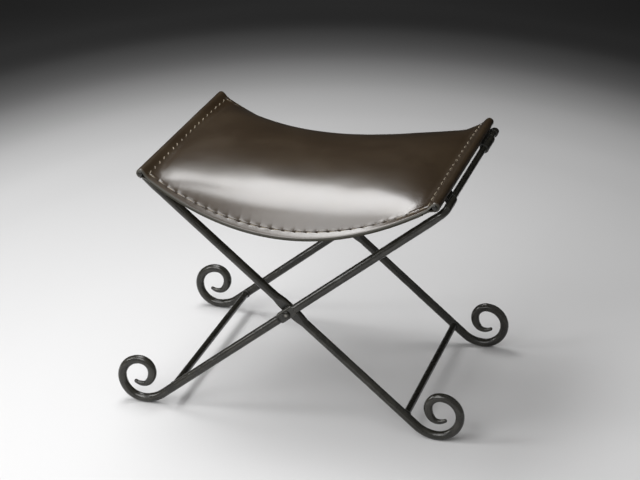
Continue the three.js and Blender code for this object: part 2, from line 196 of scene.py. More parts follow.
def y_path(at: np.ndarray, low: float, high: float, step: float) -> np.ndarray:
    """Set out a line along Y.

    Args:
        at: Its x and z.
        low: Y of its front end.
        high: Y of its rear end.
        step: About how far apart its points lie.

    Returns:
        Evenly spaced points, front to rear.
    """
    count = max(3, int(round((high - low) / step)) + 1)
    share = np.linspace(0.0, 1.0, count)
    y = low * (1.0 - share) + high * share
    return np.stack([np.full(count, at[0]), y, np.full(count, at[1])], 1)


def circle(centre: np.ndarray, y: float, radius: float, turn: np.ndarray) -> np.ndarray:
    """Return points round a line along Y, at these angles; centre is its x and z."""
    x, z = centre[0] + radius * np.cos(turn), centre[1] + radius * np.sin(turn)
    return np.stack([x, np.full(len(turn), y), z], 1)


def index_loop(i0: int, i1: int, j0: int, j1: int) -> tuple[np.ndarray, np.ndarray]:
    """Walk once round a block of a grid.

    Args:
        i0: First column.
        i1: Last column.
        j0: First row.
        j1: Last row.

    Returns:
        The columns and the rows of the places on the block's border.
    """
    wide, long = np.arange(i0, i1), np.arange(j0, j1)
    i = [wide, np.full(len(long), i1), wide[::-1] + 1, np.full(len(long), i0)]
    j = [np.full(len(wide), j0), long, np.full(len(wide), j1), long[::-1] + 1]
    return np.concatenate(i), np.concatenate(j)


def ring_quads(rings: np.ndarray) -> np.ndarray:
    """Return the faces between closed rings, given as one row of point numbers for each."""
    here, there = rings[:-1], rings[1:]
    corners = [here, np.roll(here, -1, 1), np.roll(there, -1, 1), there]
    return np.stack(corners, -1).reshape(-1, 4)


@dataclass
class Skin:
    """A closed surface in the making.

    points are places in metres, wear is 1 where use has worn the finish and where a
    painted highlight lies, and quads and fans are the faces with four and three corners, as rows of
    point numbers.
    """

    points: np.ndarray
    wear: np.ndarray
    quads: np.ndarray
    fans: np.ndarray = field(default_factory=NO_FANS.copy)

    def facing_out(self) -> "Skin":
        """Turn the faces outward.

        Returns:
            The skin itself, or a turned copy.
        """
        corners = np.concatenate([self.quads[:, :3], self.quads[:, [0, 2, 3]], self.fans])
        first, second, third = self.points[corners].transpose(1, 0, 2)
        if np.einsum("ij,ij->i", first, np.cross(second, third)).sum() < 0.0:
            return Skin(self.points, self.wear, self.quads[:, ::-1], self.fans[:, ::-1])
        return self


def joined(skins: list[Skin]) -> Skin:
    """Join closed skins.

    Args:
        skins: The skins.

    Returns:
        One skin with the faces of them all.
    """
    starts = np.cumsum([0] + [len(skin.points) for skin in skins[:-1]])
    return Skin(
        np.concatenate([skin.points for skin in skins]),
        np.concatenate([skin.wear for skin in skins]),
        np.concatenate([skin.quads + start for skin, start in zip(skins, starts)]),
        np.concatenate([skin.fans + start for skin, start in zip(skins, starts)]),
    )


def turned_skin(outline: list[Pair], centre: np.ndarray) -> Skin:
    """Turn an outline about a line along Y.

    Args:
        outline: Pairs of radius and y, walked round the closed outline.
        centre: Where the line passes, in x and z.

    Returns:
        The closed skin.
    """
    sides = 40
    turn = np.arange(sides) / sides * FULL_TURN
    points = np.concatenate([circle(centre, y, radius, turn) for radius, y in outline])
    rings = np.arange(len(points)).reshape(-1, sides)
    quads = ring_quads(np.concatenate([rings, rings[:1]]))
    return Skin(points, np.zeros(len(points)), quads).facing_out()


def sheet_skin(
    upper: np.ndarray,
    lower: np.ndarray,
    rim: list[RimStep],
    openings: list[tuple[int, int, int, int]],
    end_share: float = 1.0,
) -> Skin:
    """Close two grids of points into a sheet with a shaped rim.

    Args:
        upper: Outer face, columns by rows.
        lower: Inner face, the same size.
        rim: Steps from the upper to the lower face: share of the thickness, distance out from
            the edge, and wear.
        openings: Holes through the sheet, as first and last column, first and last row.
        end_share: How far the rim stands out at the first and last columns, as a share.

    Returns:
        The closed skin, with wear along its rim.
    """
    columns, rows = upper.shape[:2]
    below = columns * rows
    number = np.arange(below).reshape(columns, rows)
    solid = np.ones((columns - 1, rows - 1), dtype=bool)
    quads = []
    for i0, i1, j0, j1 in openings:
        solid[i0:i1, j0:j1] = False
        hole = number[index_loop(i0, i1, j0, j1)]
        quads.append(ring_quads(np.stack([hole, below + hole])))
    corners = [number[:-1, :-1], number[1:, :-1], number[1:, 1:], number[:-1, 1:]]
    face = np.stack([corner[solid] for corner in corners], 1)
    quads += [face, below + face[:, [0, 3, 2, 1]]]

    i, j = index_loop(0, columns - 1, 0, rows - 1)
    on_row = (j == 0) | (j == rows - 1)
    edge = number[i, j]
    inner = number[np.where(on_row, i, np.clip(i, 1, columns - 2)), np.clip(j, 1, rows - 2)]
    flat_upper, flat_lower = upper.reshape(-1, 3), lower.reshape(-1, 3)
    middle = 0.5 * (flat_upper + flat_lower)
    outward = unit(middle[edge] - middle[inner]) * np.where(on_row, 1.0, end_share)[:, None]
    points, rings = [flat_upper, flat_lower], [edge]
    for step, (share, out, _) in enumerate(rim):
        points.append(flat_upper[edge] * (1.0 - share) + flat_lower[edge] * share + outward * out)
        rings.append(2 * below + step * len(edge) + np.arange(len(edge)))
    rings.append(below + edge)
    quads.append(ring_quads(np.stack(rings)[:, ::-1]))
    wear = np.concatenate([np.zeros(2 * below), np.repeat([mark for *_, mark in rim], len(edge))])
    return Skin(np.concatenate(points), wear, np.concatenate(quads)).facing_out()


@dataclass
class ForgedBar:
    """A bar swept along a path, with the shallow flats that a hammer leaves on it.

    path, out and side are one row per station: the centre line and the two directions of the
    section. half_out and half_side are the section's half sizes, and squareness is 2 for a
    round section and more for a squarer one.
    """

    path: np.ndarray
    out: np.ndarray
    side: np.ndarray
    half_out: np.ndarray
    half_side: np.ndarray
    squareness: np.ndarray
    hammer_depth: float = 0.0
    hammer_pitch: float = 0.009
    blows_per_pitch: float = 2.2
    high_spot_wear: float = 60.0
    corner_wear: float = 0.0
    seed: int = 1
    sides: int = 32

    @classmethod
    def along(
        cls, path: np.ndarray, out: np.ndarray, half: np.ndarray | float, **options: float
    ) -> "ForgedBar":
        """Make a round bar from its centre line.

        Args:
            path: Centre line, one row per station.
            out: A direction that is never along the bar, or one for each station.
            half: Half the thickness, or one value per station.
            **options: Other fields of the bar.

        Returns:
            The bar, with its section square to the centre line.
        """
        heading = unit(np.gradient(path, axis=0))
        side = unit(np.cross(heading, np.broadcast_to(out, path.shape)))
        halves = np.broadcast_to(half, len(path)).astype(float)
        power = np.full(len(path), 2.0)
        return cls(path, np.cross(side, heading), side, halves, halves, power, **options)

    def hammered(self, radius: np.ndarray, turn: np.ndarray) -> np.ndarray:
        """Flatten the round of the bar where the hammer struck it.

        Args:
            radius: Distance from the centre line, stations by points round the bar.
            turn: Angle of each point round the bar.

        Returns:
            The reduced distances.
        """
        if self.hammer_depth <= 0.0:
            return radius
        radius = radius.copy()
        walked = running_length(self.path, 0)
        rng = np.random.default_rng(self.seed)
        count = int(walked[-1] / self.hammer_pitch * self.blows_per_pitch)
        for place, angle, share, reach in rng.uniform(0.0, 1.0, (count, 4)):
            centre = place * walked[-1]
            length = self.hammer_pitch * (0.7 + 0.9 * reach)
            near = np.nonzero(np.abs(walked - centre) < length)[0]
            if len(near) < 2:
                continue
            away = np.cos(turn - angle * FULL_TURN)
            facing = np.nonzero(away > 0.5)[0]
            window = 1.0 - ((walked[near] - centre) / length) ** 2
            depth = self.hammer_depth * (0.35 + 0.65 * share) * window
            block = radius[np.ix_(near, facing)]
            limit = (self.half_out[near] - depth)[:, None] / away[facing][None, :]
            radius[np.ix_(near, facing)] = np.minimum(block, np.maximum(limit, 0.5 * block))
        return radius

    def skin(self) -> Skin:
        """Sweep the section along the path.

        Returns:
            The closed skin, with a fan over each end.
        """
        count, sides = len(self.path), self.sides
        turn = np.arange(sides) / sides * FULL_TURN
        power = (2.0 / self.squareness)[:, None]
        cosine, sine = np.cos(turn)[None, :], np.sin(turn)[None, :]
        flat_out = np.sign(cosine) * np.abs(cosine) ** power * self.half_out[:, None]
        flat_side = np.sign(sine) * np.abs(sine) ** power * self.half_side[:, None]
        radius = np.hypot(flat_out, flat_side)
        struck = np.where(power > 0.98, self.hammered(radius, turn), radius)
        ratio = struck / np.maximum(radius, 1e-9)
        rings = (
            self.path[:, None, :]
            + (flat_out * ratio)[..., None] * self.out[:, None, :]
            + (flat_side * ratio)[..., None] * self.side[:, None, :]
        )
        points = np.concatenate([rings.reshape(-1, 3), self.path[:1], self.path[-1:]])

        number = np.arange(count * sides).reshape(count, sides)
        fans = []
        for tip, ring in ((count * sides, number[0, ::-1]), (count * sides + 1, number[-1])):
            fans.append(np.stack([np.full(sides, tip), ring, np.roll(ring, -1)], 1))

        high_spots = (ratio - ratio.mean(axis=1, keepdims=True)) * self.high_spot_wear
        square = np.clip((self.squareness - 2.0) / 2.0, 0.0, 1.0)[:, None]
        # Painted highlight: the corners of a squared flat are marked as worn, so they take the pale
        # colour that stands in for the light they catch.
        corners = self.corner_wear * square * np.abs(2.0 * cosine * sine) ** 3
        wear = np.maximum(np.clip(high_spots, 0.0, 1.0), corners)
        marks = np.concatenate([wear.reshape(-1), [0.0, 0.0]])
        return Skin(points, marks, ring_quads(number), np.concatenate(fans)).facing_out()


# Finishes


class NodeTable:
    """Adds nodes to one tree and links them."""

    def __init__(self, tree: bpy.types.NodeTree) -> None:
        """Keep the tree."""
        self.tree = tree

    def add(self, kind: str, inputs: dict | None = None, **settings: object) -> bpy.types.Node:
        """Add a node.

        Args:
            kind: Blender's name of the node.
            inputs: Values of its inputs, or the outputs that feed them, by name or number.
            **settings: Its other properties.

        Returns:
            The node.
        """
        node = self.tree.nodes.new(kind)
        for name, value in settings.items():
            setattr(node, name, value)
        for name, value in (inputs or {}).items():
            socket = node.inputs[name]
            if isinstance(value, Socket):
                self.tree.links.new(value, socket)
            else:
                socket.default_value = (*value, 1.0) if socket.type == "RGBA" else value
        return node

    def math(self, operation: str, *values: Socket | float) -> Socket:
        """Return what an operation makes of one to three values."""
        return self.add("ShaderNodeMath", dict(enumerate(values)), operation=operation).outputs[0]

    def noise(self, place: Socket, pitch: float, detail: float = 3.0) -> Socket:
        """Return a noise with lumps about one pitch across, in metres."""
        inputs = {"Vector": place, "Scale": 1.0 / pitch, "Detail": detail}
        return self.add("ShaderNodeTexNoise", inputs).outputs["Fac"]

    def ramp(self, value: Socket, band: Pair, ends: Pair = (0.0, 1.0)) -> Socket:
        """Carry a value softly from one band to another.

        Args:
            value: The value.
            band: Where the change starts and stops.
            ends: The results there, which hold beyond the band.

        Returns:
            The result.
        """
        names = ("From Min", "From Max", "To Min", "To Max")
        inputs = {"Value": value, **dict(zip(names, (*band, *ends)))}
        node = self.add("ShaderNodeMapRange", inputs, interpolation_type="SMOOTHSTEP")
        return node.outputs["Result"]

    def sum(self, parts: list[tuple[Socket, float]], start: float = 0.0) -> Socket:
        """Add up several values.

        Args:
            parts: Pairs of value and weight.
            start: What they are added to.

        Returns:
            The weighted sum.
        """
        total: Socket | float = start
        for value, weight in parts:
            total = self.math("MULTIPLY_ADD", value, weight, total)
        return total

    def blend(self, share: Socket, first: Colour | Socket, second: Colour | Socket) -> Socket:
        """Return a colour between two, by share."""
        inputs = {0: share, 6: first, 7: second}
        return self.add("ShaderNodeMix", inputs, data_type="RGBA").outputs[2]


class SurfaceEffect:
    """A shader node group that several finishes share, fed with the place and the mark of worn
    spots and painted highlights.
    """

    def __init__(self, name: str, outputs: list[str]) -> None:
        """Start the group.

        Args:
            name: Name of the group.
            outputs: Names of the values that it puts out.
        """
        self.tree = bpy.data.node_groups.new(name, "ShaderNodeTree")
        sockets = [("Place", "INPUT", "NodeSocketVector"), ("Wear", "INPUT", "NodeSocketFloat")]
        sockets += [(output, "OUTPUT", "NodeSocketFloat") for output in outputs]
        for label, direction, kind in sockets:
            self.tree.interface.new_socket(label, in_out=direction, socket_type=kind)
        self.table = NodeTable(self.tree)
        start = self.table.add("NodeGroupInput")
        self.place, self.wear = start.outputs["Place"], start.outputs["Wear"]

    def close(self, **results: Socket) -> bpy.types.NodeTree:
        """Join the results to the group's outputs and return its tree."""
        self.table.add("NodeGroupOutput", results)
        return self.tree

    @classmethod
    @cache
    def forged(cls) -> bpy.types.NodeTree:
        """Build the surface of painted iron.

        Returns:
            A group with hammer texture, tone and specks.
        """
        group = cls("forged_surface", ["Height", "Tone", "Speck"])
        table, place = group.table, group.place
        dents = table.noise(place, 0.011, 1.5)
        skin = table.noise(place, 0.0016, 4.0)
        patches = table.noise(place, 0.035)
        grit = table.add("ShaderNodeTexVoronoi", {"Vector": place, "Scale": 420.0}, feature="F1")
        speck = table.ramp(grit.outputs["Distance"], (0.16, 0.08))
        chance = table.add("ShaderNodeTexWhiteNoise", {"Vector": grit.outputs["Position"]})
        picked = table.math("MULTIPLY", speck, table.ramp(chance.outputs["Value"], (0.80, 0.88)))
        height = table.sum([(dents, 1.0), (skin, 0.16), (picked, 0.10)])
        tone = table.sum([(patches, 0.75), (skin, 0.25), (group.wear, 0.35)])
        return group.close(Height=height, Tone=tone, Speck=picked)

    @classmethod
    @cache
    def hide(cls) -> bpy.types.NodeTree:
        """Build the surface of polished leather.

        Returns:
            A group with grain, tone and the creases along which the leather gets painted shade.
        """
        group = cls("hide_surface", ["Height", "Tone", "Crease"])
        table, place = group.table, group.place
        bend = table.add("ShaderNodeTexNoise", {"Vector": place, "Scale": 260.0}).outputs["Color"]
        spread = table.add(
            "ShaderNodeVectorMath", {0: bend, 1: (0.0012,) * 3, 2: place}, operation="MULTIPLY_ADD"
        )
        cells = table.add(
            "ShaderNodeTexVoronoi",
            {"Vector": spread.outputs[0], "Scale": 620.0},
            feature="DISTANCE_TO_EDGE",
        )
        grain = table.ramp(cells.outputs["Distance"], (0.0, 0.28))
        folds = table.noise(place, 0.018, 5.0)
        ridge = table.math("ABSOLUTE", table.math("SUBTRACT", folds, 0.5))
        crease = table.ramp(ridge, (0.022, 0.0))
        patches = table.noise(place, 0.09, 4.0)
        pores = table.noise(place, 0.0009, 2.0)
        height = table.sum([(grain, 0.55), (pores, 0.25), (crease, -0.35)])
        tone = table.sum([(patches, 0.7), (folds, 0.2), (pores, 0.1)])
        return group.close(Height=height, Tone=tone, Crease=crease)

    @classmethod
    @cache
    def fibre(cls) -> bpy.types.NodeTree:
        """Build the surface of felt and thread.

        Returns:
            A group with the lie of the fibres.
        """
        group = cls("fibre_surface", ["Height", "Tone"])
        hairs = group.table.noise(group.place, 0.0007, 5.0)
        tufts = group.table.noise(group.place, 0.006)
        height = group.table.sum([(hairs, 0.7), (tufts, 0.3)])
        tone = group.table.sum([(tufts, 0.6), (hairs, 0.4)])
        return group.close(Height=height, Tone=tone)


class Coating:
    """A material in the making: its nodes, the marks on the mesh and one shared effect."""

    tone_band: Pair = (0.35, 0.65)
    gloss_band: Pair = (0.3, 0.7)

    def __init__(self, name: str, effect: bpy.types.NodeTree | None = None) -> None:
        """Start the material.

        Args:
            name: Name of the material.
            effect: Shared node group, fed with the place and wear of the piece.
        """
        self.material = bpy.data.materials.new(name)
        self.material.use_nodes = True
        self.material.node_tree.nodes.clear()
        self.table = NodeTable(self.material.node_tree)
        if effect is not None:
            place = self.table.add("ShaderNodeAttribute", attribute_name="place")
            self.wear = self.table.add("ShaderNodeAttribute", attribute_name="wear").outputs["Fac"]
            marks = {"Place": place.outputs["Vector"], "Wear": self.wear}
            self.effect = self.table.add("ShaderNodeGroup", marks, node_tree=effect).outputs

    def toned(self, dark: Colour, pale: Colour) -> Socket:
        """Return a colour that follows the effect's tone."""
        return self.table.blend(self.table.ramp(self.effect["Tone"], self.tone_band), dark, pale)

    def gloss(self, ends: Pair) -> Socket:
        """Return a roughness that follows the effect's tone, from the dark end to the pale."""
        return self.table.ramp(self.effect["Tone"], self.gloss_band, ends)

    def close(self, inputs: dict, height: Socket, depth: float) -> bpy.types.Material:
        """Finish the material with its shader.

        Args:
            inputs: Values and links of the shader's sockets.
            height: Relief of the surface.
            depth: Depth of the relief in metres.

        Returns:
            The material.
        """
        relief = {"Height": height, "Distance": depth, "Strength": 1.0}
        normal = self.table.add("ShaderNodeBump", relief).outputs["Normal"]
        shader = self.table.add("ShaderNodeBsdfPrincipled", {**inputs, "Normal": normal})
        self.table.add("ShaderNodeOutputMaterial", {"Surface": shader.outputs[0]})
        return self.material


@dataclass(frozen=True)
class ForgedIron:
    """Dark satin paint over hammered iron, worn paler on its high spots, with a painted highlight
    where a piece marks one.
    """

    name: str
    dark: Colour = (0.009, 0.0085, 0.0063)
    pale: Colour = (0.020, 0.0188, 0.0142)
    rubbed_and_highlight: Colour = (0.085, 0.081, 0.068)
    rub_and_highlight_share: float = 0.55
    metal: float = 0.12
    shine: float = 0.62
    gloss: Pair = (0.34, 0.18)
    relief: float = 0.00045

    def material(self) -> bpy.types.Material:
        """Build the material.

        Returns:
            The material.
        """
        coat = Coating(self.name, SurfaceEffect.forged())
        ground = coat.toned(self.dark, self.pale)
        speckled = coat.table.blend(coat.effect["Speck"], ground, self.rubbed_and_highlight)
        # Where a piece is marked as worn the colour goes pale: worn high spots, and painted
        # highlights on the flat corners and rivet crowns.
        share = coat.table.sum([(coat.wear, self.rub_and_highlight_share)])
        sockets = {
            "Base Color": coat.table.blend(share, speckled, self.rubbed_and_highlight),
            "Metallic": self.metal,
            "Roughness": coat.gloss(self.gloss),
            "Specular IOR Level": self.shine,
        }
        return coat.close(sockets, coat.effect["Height"], self.relief)


@dataclass(frozen=True)
class PolishedLeather:
    """Dark brown leather with a wax polish, fine grain, painted shade along its creases and a dull
    cut edge.
    """

    name: str
    dark: Colour = (0.031, 0.018, 0.007)
    warm: Colour = (0.042, 0.026, 0.011)
    edge: Colour = (0.034, 0.031, 0.020)
    crease_share: float = 0.12
    shine: float = 0.7
    gloss: Pair = (0.29, 0.34)
    cut_roughness: float = 0.32
    polish: float = 1.0
    polish_roughness: float = 0.21
    polish_lost: float = 0.9
    relief: float = 0.00004

    def material(self) -> bpy.types.Material:
        """Build the material.

        Returns:
            The material.
        """
        coat = Coating(self.name, SurfaceEffect.hide())
        body = coat.toned(self.dark, self.warm)
        # Painted shade: the colour is darkened along the creases.
        share = coat.table.sum([(coat.effect["Crease"], self.crease_share)])
        crease_shaded = coat.table.blend(share, body, self.dark)
        cut = (coat.wear, self.cut_roughness)
        sockets = {
            "Base Color": coat.table.blend(coat.wear, crease_shaded, self.edge),
            "Roughness": coat.table.sum([(coat.gloss(self.gloss), 1.0), cut]),
            "Specular IOR Level": self.shine,
            "Coat Weight": coat.table.sum(
                [(coat.wear, -self.polish_lost * self.polish)], self.polish
            ),
            "Coat Roughness": self.polish_roughness,
        }
        return coat.close(sockets, coat.effect["Height"], self.relief)


@dataclass(frozen=True)
class Fibre:
    """Felt or waxed thread."""

    name: str
    dark: Colour
    pale: Colour
    roughness: float
    sheen: float
    relief: float = 0.0004

    def material(self) -> bpy.types.Material:
        """Build the material.

        Returns:
            The material.
        """
        coat = Coating(self.name, SurfaceEffect.fibre())
        colour = coat.toned(self.dark, self.pale)
        sockets = {"Base Color": colour, "Roughness": self.roughness, "Sheen Weight": self.sheen}
        return coat.close(sockets, coat.effect["Height"], self.relief)


class Finish(Enum):
    """The finishes of the stool, each with the name of its material slot."""

    IRON = (ForgedIron("blackened_iron_paint"), "blackened_iron")
    # The rivet's pale colour is worn bare metal that also serves as a painted highlight on the
    # crown of each head.
    RIVET = (
        ForgedIron("rivet_iron_paint", rubbed_and_highlight=(0.42, 0.40, 0.36), metal=0.5, gloss=(0.28, 0.18)),
        "rivet_iron",
    )
    WELD = (ForgedIron("weld_bead_paint", gloss=(0.58, 0.42)), "blackened_iron")
    LEATHER = (PolishedLeather("polished_leather"), "brown_leather")
    LINING = (
        PolishedLeather(
            "lining_leather", shine=0.5, gloss=(0.48, 0.62), polish=0.1, polish_roughness=0.4
        ),
        "brown_leather",
    )
    THREAD = (
        Fibre("waxed_thread", (0.16, 0.13, 0.09), (0.30, 0.25, 0.18), 0.42, 0.1),
        "brown_leather",
    )
    FELT = (
        Fibre("pad_felt_fibre", (0.42, 0.37, 0.28), (0.56, 0.51, 0.41), 0.95, 0.4),
        "pad_felt",
    )

    @property
    def slot(self) -> str:
        """Name of the slot that the finish belongs to."""
        return self.value[1]

    @cache
    def material(self) -> bpy.types.Material:
        """Return the material, which is built once."""
        return self.value[0].material()


def place_piece(
    name: str,
    skin: Skin,
    finish: Finish,
    hold: Hold,
    stands_for: str | None = None,
    sharp: float = 40.0,
) -> Piece:
    """Turn a skin into a piece of the stool.

    Args:
        name: Name of the piece.
        skin: Its surface.
        finish: Its finish.
        hold: What carries it when the stool folds.
        stands_for: Node of the frame that it takes the place of.
        sharp: Angle in degrees above which an edge stays crisp.

    Returns:
        The Blender object.
    """
    mesh = bpy.data.meshes.new(name)
    mesh.from_pydata(skin.points.tolist(), [], skin.quads.tolist() + skin.fans.tolist())
    mesh.polygons.foreach_set("use_smooth", [True] * len(mesh.polygons))
    mesh.set_sharp_from_angle(angle=math.radians(sharp))
    place = mesh.attributes.new("place", "FLOAT_VECTOR", "POINT")
    place.data.foreach_set("vector", skin.points.astype(np.float32).ravel())
    wear = mesh.attributes.new("wear", "FLOAT", "POINT")
    wear.data.foreach_set("value", skin.wear.astype(np.float32))
    mesh.materials.append(finish.material())
    mesh.update()
    piece = bpy.data.objects.new(name, mesh)
    bpy.context.scene.collection.objects.link(piece)
    if stands_for:
        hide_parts(stands_for)
    if hold is not Hold.SLING:
        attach(piece, hold.value)
    finish.slot
    return piece


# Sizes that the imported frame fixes


def pivot_shift() -> float:
    """Return how far the frame's own middle lies from the origin of model.glb along Y."""
    low_front, high_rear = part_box("pivot_rivet_front")[0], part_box("pivot_rivet_rear")[1]
    return (low_front.y + high_rear.y) / 2.0


@dataclass(frozen=True)
class StoolSizes:
    """Sizes that several sub-assemblies share, in metres."""

    leg_bar: float = 0.016
    rail_bar: float = 0.012
    stretcher_bar: float = 0.0127
    seat_bar: float = 0.009
    corner_half_span: float = 0.276
    corner_height: float = 0.4421
    pivot_height: float = 0.2153
    frame_half_depth: float = 0.207
    plane_offset: float = 0.018
    flat_thickness: float = 0.012
    seat_bar_x: float = 0.262
    seat_bar_z: float = 0.4561
    sleeve_front: float = 0.237
    sleeve_rear: float = 0.213
    front_skew: float = 0.002
    rear_skew: float = 0.006
    tie_width: float = 0.007
    front_tie: Pair = (0.058, 0.040)
    rear_tie: Pair = (0.082, 0.058)
    shift: float = field(default_factory=pivot_shift)

    @property
    def leg_run(self) -> float:
        """Distance from the pivot to a corner."""
        return math.hypot(self.corner_half_span, self.corner_height - self.pivot_height)

    @property
    def leg_slope(self) -> float:
        """Angle of a leg above the floor."""
        return math.atan2(self.corner_height - self.pivot_height, self.corner_half_span)

    def plane(self, side: Side, end: End) -> float:
        """Return the y of one leg's plane."""
        outward = -side.value * self.plane_offset / 2
        return end.value * (self.frame_half_depth + outward) + self.shift

    def tie_span(self, side: Side, end: End) -> Pair:
        """Return the y of both ends of a tie.

        Args:
            side: The frame.
            end: Front or rear tie.

        Returns:
            Y of its front end and of its rear end.
        """
        setback, length = self.front_tie if end is End.FRONT else self.rear_tie
        middle = self.plane(side, end) - end.value * setback
        return middle - length / 2, middle + length / 2

    def corner(self, side: Side) -> np.ndarray:
        """Return x and z of the line through the leg tops."""
        return np.array([-side.value * self.corner_half_span, self.corner_height])

    def rod(self, side: Side) -> np.ndarray:
        """Return x and z of the seat rod."""
        return np.array([-side.value * self.seat_bar_x, self.seat_bar_z])


@dataclass
class ScissorFrame:
    """One U frame: two legs with scroll feet, a top rail, a stretcher and a seat rod."""

    side: Side
    sizes: StoolSizes
    corner_radius: float = 0.014
    lap_bar: float = 0.0146
    front_lap: float = 0.064
    rear_lap: float = 0.026
    flat_width: float = 0.020
    flat_length: float = 0.030
    inner_flat_blend: float = 0.022
    outer_flat_blend: float = 0.0045
    flat_squareness: float = 4.0
    tie_squareness: float = 7.0
    stretcher_height: float = 0.0384
    instep: float = 0.0587
    curl: tuple[Pair, ...] = (
        (0.0408, 90.0),
        (0.0351, 180.0),
        (0.0232, 270.0),
        (0.0290, 315.0),
        (0.0150, 360.0),
        (0.0250, 390.0),
    )
    neck_bar: float = 0.0094
    tip_bar: float = 0.0072
    lap_bevel: float = 0.002
    tip_shares: tuple[float, ...] = (0.25, 0.5, 0.72, 0.88, 0.97)
    end_bevel: float = 0.0012
    bevel_shares: tuple[float, ...] = (0.08, 0.3, 0.6, 0.85)
    leg_hammer: float = 0.00028
    bar_hammer: float = 0.00018
    flat_corner_wear: float = 0.6
    rod_stick_out: float = 0.002
    stretcher_bite: float = 0.002
    station: float = 0.0026
    leg_bead: float = 0.0015
    rail_bead: float = 0.0012
    cradle_bead: float = 0.0011
    tie_bead: float = 0.0010
    bead_ripple: float = 0.0032
    bead_swell: float = 0.16
    bead_lumps: float = 0.22
    bead_lump_pitch: float = 0.004
    bead_tips: Pair = (0.35, 0.8)
    bead_station: float = 0.0007
    bead_proud: float = 0.0002
    bead_lap: float = 1.02
    tie_station: float = 0.002
    tie_gap: float = 0.0005
    tie_taper: float = 0.22
    tie_taper_share: float = 0.1

    @property
    def hold(self) -> Hold:
        """The body that the frame is."""
        return Hold[self.side.name]

    @property
    def leg_axes(self) -> tuple[np.ndarray, np.ndarray]:
        """Direction down a leg, and the one square to it on its upper side."""
        foot, slope = self.side.value, self.sizes.leg_slope
        down = np.array([foot * math.cos(slope), 0.0, -math.sin(slope)])
        return down, np.array([foot * math.sin(slope), 0.0, math.cos(slope)])

    @property
    def rail_line(self) -> np.ndarray:
        """x and z of the top rail, flush with the leg tops on the side of the seat rod."""
        corner, rod = self.sizes.corner(self.side), self.sizes.rod(self.side)
        return corner + unit(rod - corner) * (self.sizes.leg_bar - self.sizes.rail_bar) / 2

    @property
    def stretcher_line(self) -> np.ndarray:
        """x and z of the stretcher, on the legs' centre lines."""
        rise = self.sizes.pivot_height - self.stretcher_height
        run = rise / math.tan(self.sizes.leg_slope)
        return np.array([self.side.value * run, self.stretcher_height])

    def lap(self, end: End) -> float:
        """Return how far the top of a leg reaches along the rail."""
        return self.front_lap if end is End.FRONT else self.rear_lap

    def build(self) -> list[Piece]:
        """Build every piece of the frame.

        Returns:
            Legs, rail, cradle, stretcher, seat rod, ties and weld beads.
        """
        pieces = [self.leg(end) for end in End] + self.round_bars()
        return pieces + [self.tie(end) for end in End] + [self.weld_beads()]

    def finished(self, part: str, skin: Skin, finish: Finish = Finish.IRON) -> Piece:
        """Place one iron piece of this frame under its own name.

        Args:
            part: What it is called in the frame.
            skin: Its surface.
            finish: Its finish; weld beads stand for no node of their own.

        Returns:
            The piece.
        """
        name = f"{self.side.name.lower()}_{part}"
        stands_for = None if finish is Finish.WELD else name
        return place_piece(f"{name}_forged", skin, finish, self.hold, stands_for)

    def lap_path(self, end: End, corner: np.ndarray) -> np.ndarray:
        """Walk the top of a leg along the rail and round the corner.

        Args:
            end: Front or rear leg.
            corner: Where the centre lines of leg and rail meet.

        Returns:
            The centre line.
        """
        inward, down = -end.value * BACK, self.leg_axes[0]
        lap, bend = self.lap(end), self.corner_radius
        reach = np.linspace(lap, bend, max(4, int((lap - bend) / self.station)))[:, None]
        turns = np.linspace(0.0, QUARTER_TURN, 14)[1:-1][:, None]
        bent = (inward + down) * bend - bend * (down * np.cos(turns) + inward * np.sin(turns))
        return np.concatenate([corner + inward * reach, corner + bent])

    def shank_stops(self, curl_start: float, blend: float) -> np.ndarray:
        """Choose the stations of the straight of a leg, closest at the shoulders of its flat.

        Args:
            curl_start: Distance from the corner at which the scroll starts.
            blend: Length over which the bar turns into its flat.

        Returns:
            Distances from the corner.
        """
        run, bend, margin = self.sizes.leg_run, self.corner_radius, 0.001
        stops = np.linspace(bend, curl_start, int((curl_start - bend) / self.station))
        shoulder = self.flat_length / 2 + np.linspace(-margin, blend + margin, 12)
        near = np.abs(np.abs(stops - run) - shoulder.mean()) < np.ptp(shoulder) / 2 + 0.8 * margin
        return np.sort(np.concatenate([stops[~near], run - shoulder, run + shoulder]))

    def scroll(self, run: float, rise: float) -> tuple[np.ndarray, np.ndarray]:
        """Walk the scroll of a foot.

        Args:
            run: Where it starts, away from the pivot.
            rise: Where it starts, above the floor.

        Returns:
            Run and rise of each station, and the angle of the bar's heading above the floor.
        """
        places, angles = [], []
        before = -self.sizes.leg_slope
        for radius, until in ((self.instep, 0.0), *self.curl):
            after = math.radians(until)
            steps = max(3, int(radius * (after - before) / self.station))
            turn = before + (after - before) * np.arange(1, steps + 1) / steps
            runs = run + radius * (np.sin(turn) - math.sin(before))
            rises = rise + radius * (math.cos(before) - np.cos(turn))
            places.append(np.stack([runs, rises], 1))
            angles.append(turn)
            run, rise, before = runs[-1], rises[-1], after
        return np.concatenate(places), np.concatenate(angles)

    def leg_line(self, end: End) -> tuple[np.ndarray, ...]:
        """Walk a leg from its lap on the rail, round the corner, down and round the scroll.

        Args:
            end: Front or rear leg.

        Returns:
            Centre line, outward direction, half width along it, half width across, squareness.
        """
        s, foot = self.sizes, self.side.value
        slope, plane = s.leg_slope, s.plane(self.side, end)
        down, outward = self.leg_axes
        corner = np.array([0.0, plane, s.pivot_height]) - down * s.leg_run
        lap = self.lap_path(end, corner)

